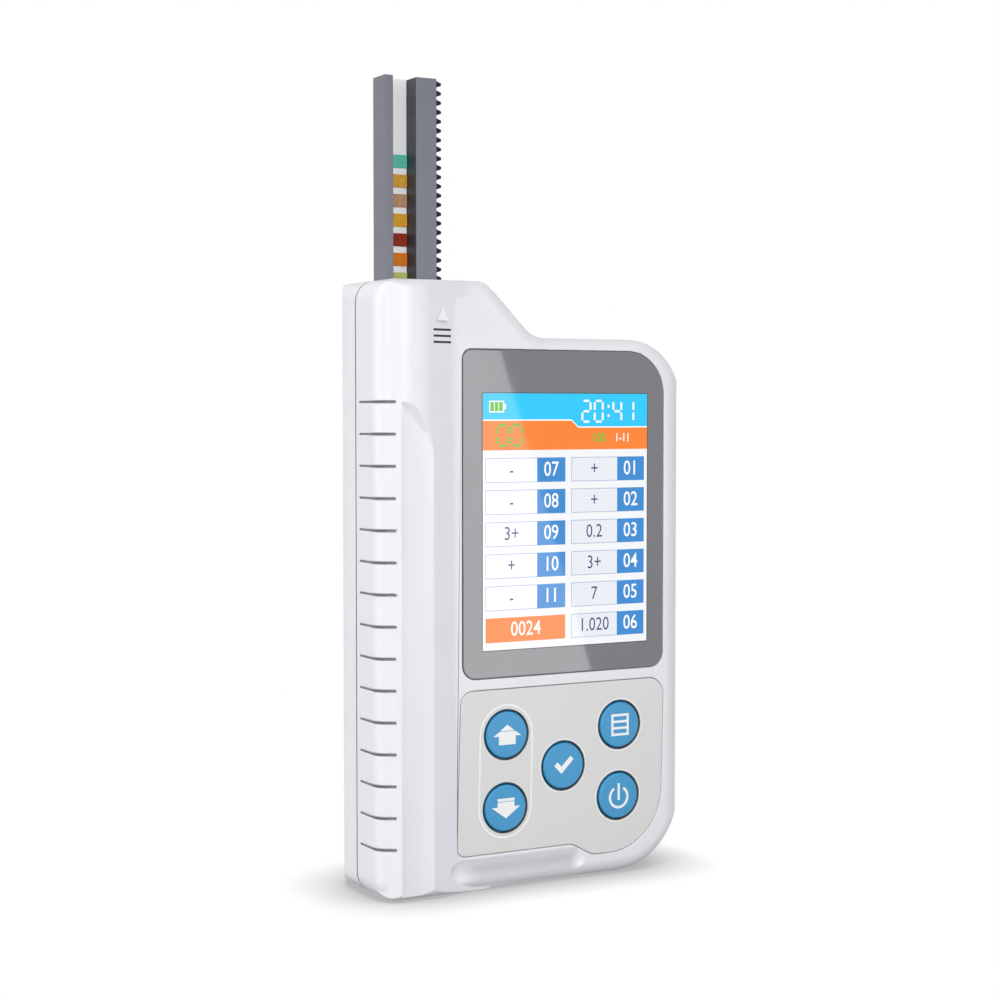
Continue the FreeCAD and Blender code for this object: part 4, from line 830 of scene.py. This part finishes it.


# the keypad: a grey sheet with a white printed ring, painted white highlight rings and painted shadow round
# the keys' holes, and five round keys with white signs
keypad = {
    "sheetEdge": 0.18,
    "sheetColour": (0.76, 0.76, 0.75),
    "sheetShade": (0.745, 0.745, 0.735),
    "sheetFinish": (0.42, 0.22, 0.006),  # roughness, grain and its depth
    "sheetFace": -13.0,
    "ringReach": 5.42,                   # how far from a key's centre its hole's rim gets painted shadow
    "holeShadowColour": (0.11, 0.098, 0.09),
    "ringRoughness": 0.7,
    "keyEdge": 0.28,
    "keySteps": 3,
    "keyColour": (0.046, 0.325, 0.62),
    "keyShade": (0.042, 0.305, 0.59),
    "keyFinish": (0.38, 0.3, 0.002),
    "keyFace": -13.35,
    # the white of the prints, also used for the painted highlight rings
    "printAndHighlightWhite": (0.975, 0.98, 0.985),
    "printShade": (0.96, 0.965, 0.97),
    "printFinish": (0.5, 0.3, 0.001),
    "printRise": 0.02,
    "signRise": 0.035,
    "sunk": 0.05,                        # how far prints and signs reach into what carries them
    # a painted white highlight ring round each of these keys, just outside its hole
    "highlightRadius": 5.72,
    "highlightWidth": 0.16,
    "highlightRings": ("key_ok", "key_menu", "key_power"),
    "pairRadius": 6.35,
    "pairWidth": 0.34,
    "pair": ("key_up", "key_down"),
    "centres": {"key_up": (-7.65, 32.2), "key_down": (-7.95, 16.9), "key_ok": (6.05, 24.55),
                "key_menu": (20.05, 32.2), "key_power": (19.75, 16.9)},
}
keyCentres = keypad["centres"]
sheetPaint = moulded("keypadGrey", keypad["sheetColour"], keypad["sheetShade"], *keypad["sheetFinish"])
printAndHighlightPaint = moulded("printAndHighlightWhite", keypad["printAndHighlightWhite"], keypad["printShade"], *keypad["printFinish"])
keyPaint = moulded("keyBlue", keypad["keyColour"], keypad["keyShade"], *keypad["keyFinish"])
holeShadowPaint = moulded("holeShadow", keypad["holeShadowColour"], keypad["holeShadowColour"], keypad["ringRoughness"])
sheetPaints = [sheetPaint, holeShadowPaint]
keyPaints = [keyPaint, printAndHighlightPaint]
sheet = weldedCopy("keypad_plate")
softenEdges(sheet, keypad["sheetEdge"])
# painted shadow on the rim of each key's hole
for x, z in keyCentres.values():
    for face in sheet.faces:
        if all(math.hypot(vert.co.x / mm - x, vert.co.z / mm - z) < keypad["ringReach"]
               for vert in face.verts):
            face.material_index = sheetPaints.index(holeShadowPaint)
finishPiece("keypadSheet", sheet, sheetPaints, "case", ["keypad_plate"])

prints = bmesh.new()
printFront = keypad["sheetFace"] - keypad["printRise"]
printBack = keypad["sheetFace"] + keypad["sunk"]
addRing(prints, [keyCentres[keyName] for keyName in keypad["pair"]], keypad["pairRadius"],
        keypad["pairWidth"], printFront, printBack)
# painted white highlight rings round the three keys on the right
for keyName in keypad["highlightRings"]:
    addRing(prints, [keyCentres[keyName]], keypad["highlightRadius"], keypad["highlightWidth"], printFront, printBack)
finishPiece("keypadRings", prints, [printAndHighlightPaint], "case", [], outward=True)

# signs on the keys; places from each key's centre, to the right and up
signOutlines = {
    "key_up": (((0, 2.15), (1.7, 0.86), (-1.7, 0.86)),
               ((-1.84, 0.74), (1.84, 0.74), (3.35, -0.25), (2.0, -0.25), (2.0, -2.05), (-2.0, -2.05),
                (-2.0, -0.25), (-3.35, -0.25))),
    "key_down": (((-2.0, 2.05), (-2.0, 1.42), (2.0, 1.42), (2.0, 2.05)),
                 ((0, -2.15), (3.35, 0.25), (2.0, 0.25), (2.0, 1.3), (-2.0, 1.3), (-2.0, 0.25),
                  (-3.35, 0.25))),
    "key_ok": (((-2.35, 0.1), (-1.6, 0.85), (-0.6, -0.15), (1.6, 2.0), (2.35, 1.25), (-0.6, -1.65)),),
}
listFacts = {
    "half": 2.2,
    "tall": 2.35,
    "line": 0.52,
    "rungs": 4,
}
powerFacts = {
    "inner": 1.93,
    "outer": 2.48,
    "low": -0.3,                         # the ring's centre
    "start": 58.0,                       # degrees
    "turn": 296.0,
    "steps": 36,
    "bar": (-0.28, -0.95, 0.28, 2.7),    # left, bottom, right, top
}
signFront = keypad["keyFace"] - keypad["signRise"]
signBack = keypad["keyFace"] + keypad["sunk"]


def barSign(made, centre, x1, z1, x2, z2):
    addBlock(made, (centre[0] + x1, signFront, centre[1] + z1), (centre[0] + x2, signBack, centre[1] + z2))


def listSign(made, centre):
    half, tall, line = listFacts["half"], listFacts["tall"], listFacts["line"]
    barSign(made, centre, -half, -tall, line - half, tall)
    barSign(made, centre, half - line, -tall, half, tall)
    rungs = listFacts["rungs"]
    pitch = (2 * tall - line) / (rungs - 1)
    for number in range(rungs):
        barSign(made, centre, line - half, -tall + pitch * number, half - line, -tall + pitch * number + line)


def powerSign(made, centre):
    # a broken ring spun from its cross-section, and the bar in its gap
    x, z = centre[0], centre[1] + powerFacts["low"]
    inner, outer, start = powerFacts["inner"], powerFacts["outer"], math.radians(powerFacts["start"])
    corners = [(inner, signFront), (outer, signFront), (outer, signBack), (inner, signBack)]
    verts = [made.verts.new(((x + radius * math.cos(start)) * mm, y * mm,
                             (z + radius * math.sin(start)) * mm)) for radius, y in corners]
    face = made.faces.new(verts)
    bmesh.ops.spin(made, geom=[*verts, *face.edges, face], cent=Vector((x, 0, z)) * mm, axis=(0, 1, 0),
                   angle=math.radians(powerFacts["turn"]), steps=powerFacts["steps"], use_merge=False)
    barSign(made, centre, *powerFacts["bar"])


def keySign(keyName, centre):
    # the sign as a mesh, in the keys' second paint
    made = bmesh.new()
    for outline in signOutlines.get(keyName, ()):
        addPrism(made, [(centre[0] + x, centre[1] + z) for x, z in outline], signFront, signBack)
    if keyName == "key_menu":
        listSign(made, centre)
    if keyName == "key_power":
        powerSign(made, centre)
    for face in made.faces:
        face.material_index = keyPaints.index(printAndHighlightPaint)
    bmesh.ops.recalc_face_normals(made, faces=made.faces)
    mesh = bpy.data.meshes.new("sign")
    made.to_mesh(mesh)
    made.free()
    return mesh


for keyName, centre in keyCentres.items():
    cap = weldedCopy(keyName)
    softenEdges(cap, keypad["keyEdge"], keypad["keySteps"])
    sign = keySign(keyName, centre)
    cap.from_mesh(sign)
    bpy.data.meshes.remove(sign)
    finishPiece(keyName.replace("_", "") + "Cap", cap, keyPaints, keyName, [keyName])
print("keypad ready")


# the strip tray: grey moulding with a black rack, and the pads of the test strip
trayFacts = {
    "edge": 0.16,
    "grey": (0.180, 0.186, 0.222),
    "greyShade": (0.165, 0.171, 0.206),
    "finish": (0.48, 0.3, 0.005),        # roughness, grain and its depth
    "rackStart": -20.62,
    "rackColour": (0.012, 0.012, 0.013),
    "rackShade": (0.02, 0.02, 0.022),
    "rackFinish": (0.5, 0.3, 0.004),
    "rackShine": 0.12,
    # the box round the channel's walls and floor, which get painted shade
    "channel": ((-30.55, -6.9, 40.0), (-25.35, -2.4, 170.0)),
    "channelShadeColour": (0.048, 0.054, 0.070),
    "channelRoughness": 0.5,
}
trayPaint = moulded("trayGrey", trayFacts["grey"], trayFacts["greyShade"], *trayFacts["finish"])
rackPaint = moulded("rackBlack", trayFacts["rackColour"], trayFacts["rackShade"], *trayFacts["rackFinish"],
                    shine=trayFacts["rackShine"])
channelShadePaint = moulded("channelPaintedShade", trayFacts["channelShadeColour"], trayFacts["channelShadeColour"],
                       trayFacts["channelRoughness"])
trayPaints = [trayPaint, rackPaint, channelShadePaint]
tray = weldedCopy("strip_tray")
# the rack is black; the channel's walls and floor get painted shade
for face in tray.faces:
    if face.calc_center_median().x > trayFacts["rackStart"] * mm:
        face.material_index = trayPaints.index(rackPaint)
    elif isInside(face.calc_center_median(), [trayFacts["channel"]]):
        face.material_index = trayPaints.index(channelShadePaint)
softenEdges(tray, trayFacts["edge"])
finishPiece("trayBody", tray, trayPaints, "tray", ["strip_tray"])

padColours = {
    "01": ((0.075, 0.50, 0.38), (0.15, 0.62, 0.50)),
    "02": ((0.62, 0.30, 0.025), (0.78, 0.42, 0.07)),
    "03": ((0.45, 0.24, 0.12), (0.56, 0.34, 0.20)),
    "04": ((0.68, 0.33, 0.015), (0.80, 0.44, 0.04)),
    "05": ((0.26, 0.020, 0.010), (0.36, 0.045, 0.022)),
    "06": ((0.70, 0.16, 0.010), (0.82, 0.25, 0.03)),
    "07": ((0.52, 0.60, 0.12), (0.64, 0.70, 0.24)),
    "08": ((0.78, 0.66, 0.34), (0.86, 0.76, 0.46)),
    "09": ((0.80, 0.78, 0.70), (0.86, 0.84, 0.78)),
    "10": ((0.20, 0.36, 0.42), (0.28, 0.46, 0.50)),
    "11": ((0.80, 0.50, 0.46), (0.86, 0.60, 0.55)),
}
for padNumber, (padColour, padShade) in padColours.items():
    pad = weldedCopy("reagent_pad_" + padNumber)
    softenEdges(pad, padFacts["edge"])
    finishPiece("reagentPad" + padNumber, pad, [porous("pad" + padNumber, padColour, padShade)], "tray",
                ["reagent_pad_" + padNumber])
print("tray and pads ready")


# parts that keep their CAD shape: how each finish is made, its values, and the parts that get it
innerParts = {
    "platedSteel": (brushed, ((0.62, 0.62, 0.63), (0.50, 0.50, 0.52), 0.32, (1.0, 1.0, 0.08)), {},
                    ("case_screws", "board_screws", "bracket_screws", "usb_socket", "tray_motor",
                     "motor_shaft", "gear_axle", "axle_clip", "motor_bracket", "battery_contacts",
                     "dome_sheet")),
    "gearBrass": (brushed, ((0.72, 0.50, 0.20), (0.62, 0.42, 0.16), 0.3, (0.1, 1.0, 1.0)), {},
                  ("motor_pinion",)),
    "boardGreen": (tracked, ((0.012, 0.16, 0.06), (0.015, 0.19, 0.075), (0.03, 0.30, 0.13)), {},
                   ("main_board", "reader_board")),
    "chipBlack": (moulded, ((0.022, 0.022, 0.024), (0.032, 0.032, 0.034), 0.55, 0.2, 0.006), {},
                  ("board_chips", "buzzer", "end_switch", "reader_sensor")),
    "foamBlack": (moulded, ((0.02, 0.02, 0.021), (0.035, 0.035, 0.036), 0.9, 0.25, 0.06), {},
                  ("screen_gasket",)),
    "connectorCream": (moulded, ((0.72, 0.68, 0.56), (0.68, 0.64, 0.52), 0.45), {},
                       ("display_connector",)),
    "flexAmber": (moulded, ((0.62, 0.30, 0.05), (0.55, 0.25, 0.035), 0.3, 0.6, 0.001), {},
                  ("display_flex", "reader_cable")),
    "guideBlack": (moulded, ((0.045, 0.045, 0.05), (0.055, 0.055, 0.06), 0.5), {},
                   ("tray_guide", "reader_holder")),
    "gearWhite": (moulded, ((0.78, 0.77, 0.72), (0.75, 0.74, 0.69), 0.4), {}, ("drive_gear",)),
    "ledClear": (moulded, ((0.80, 0.84, 0.80), (0.76, 0.80, 0.78), 0.1), {"coat": 1.0}, ("reader_leds",)),
    "batteryWrap": (moulded, ((0.020, 0.10, 0.30), (0.024, 0.12, 0.34), 0.25, 0.8, 0.002), {"coat": 0.5},
                    ("battery_pack",)),
    "displayBack": (moulded, ((0.50, 0.52, 0.55), (0.46, 0.48, 0.52), 0.3), {}, ("lcd_module",)),
    "stripWhite": (moulded, ((0.92, 0.92, 0.935), (0.90, 0.90, 0.92), 0.4, 0.5, 0.002), {},
                   ("test_strip",)),
    "tileWhite": (moulded, ((0.88, 0.88, 0.87), (0.85, 0.85, 0.84), 0.2, 0.5, 0.001), {},
                  ("reference_tile",)),
}
for paintName, (makePaint, values, more, parts) in innerParts.items():
    innerPaint = makePaint(paintName, *values, **more)
    for part in parts:
        for slot in nodes[part].material_slots:
            slot.link = "OBJECT"
            slot.material = innerPaint
print("inner parts finished")
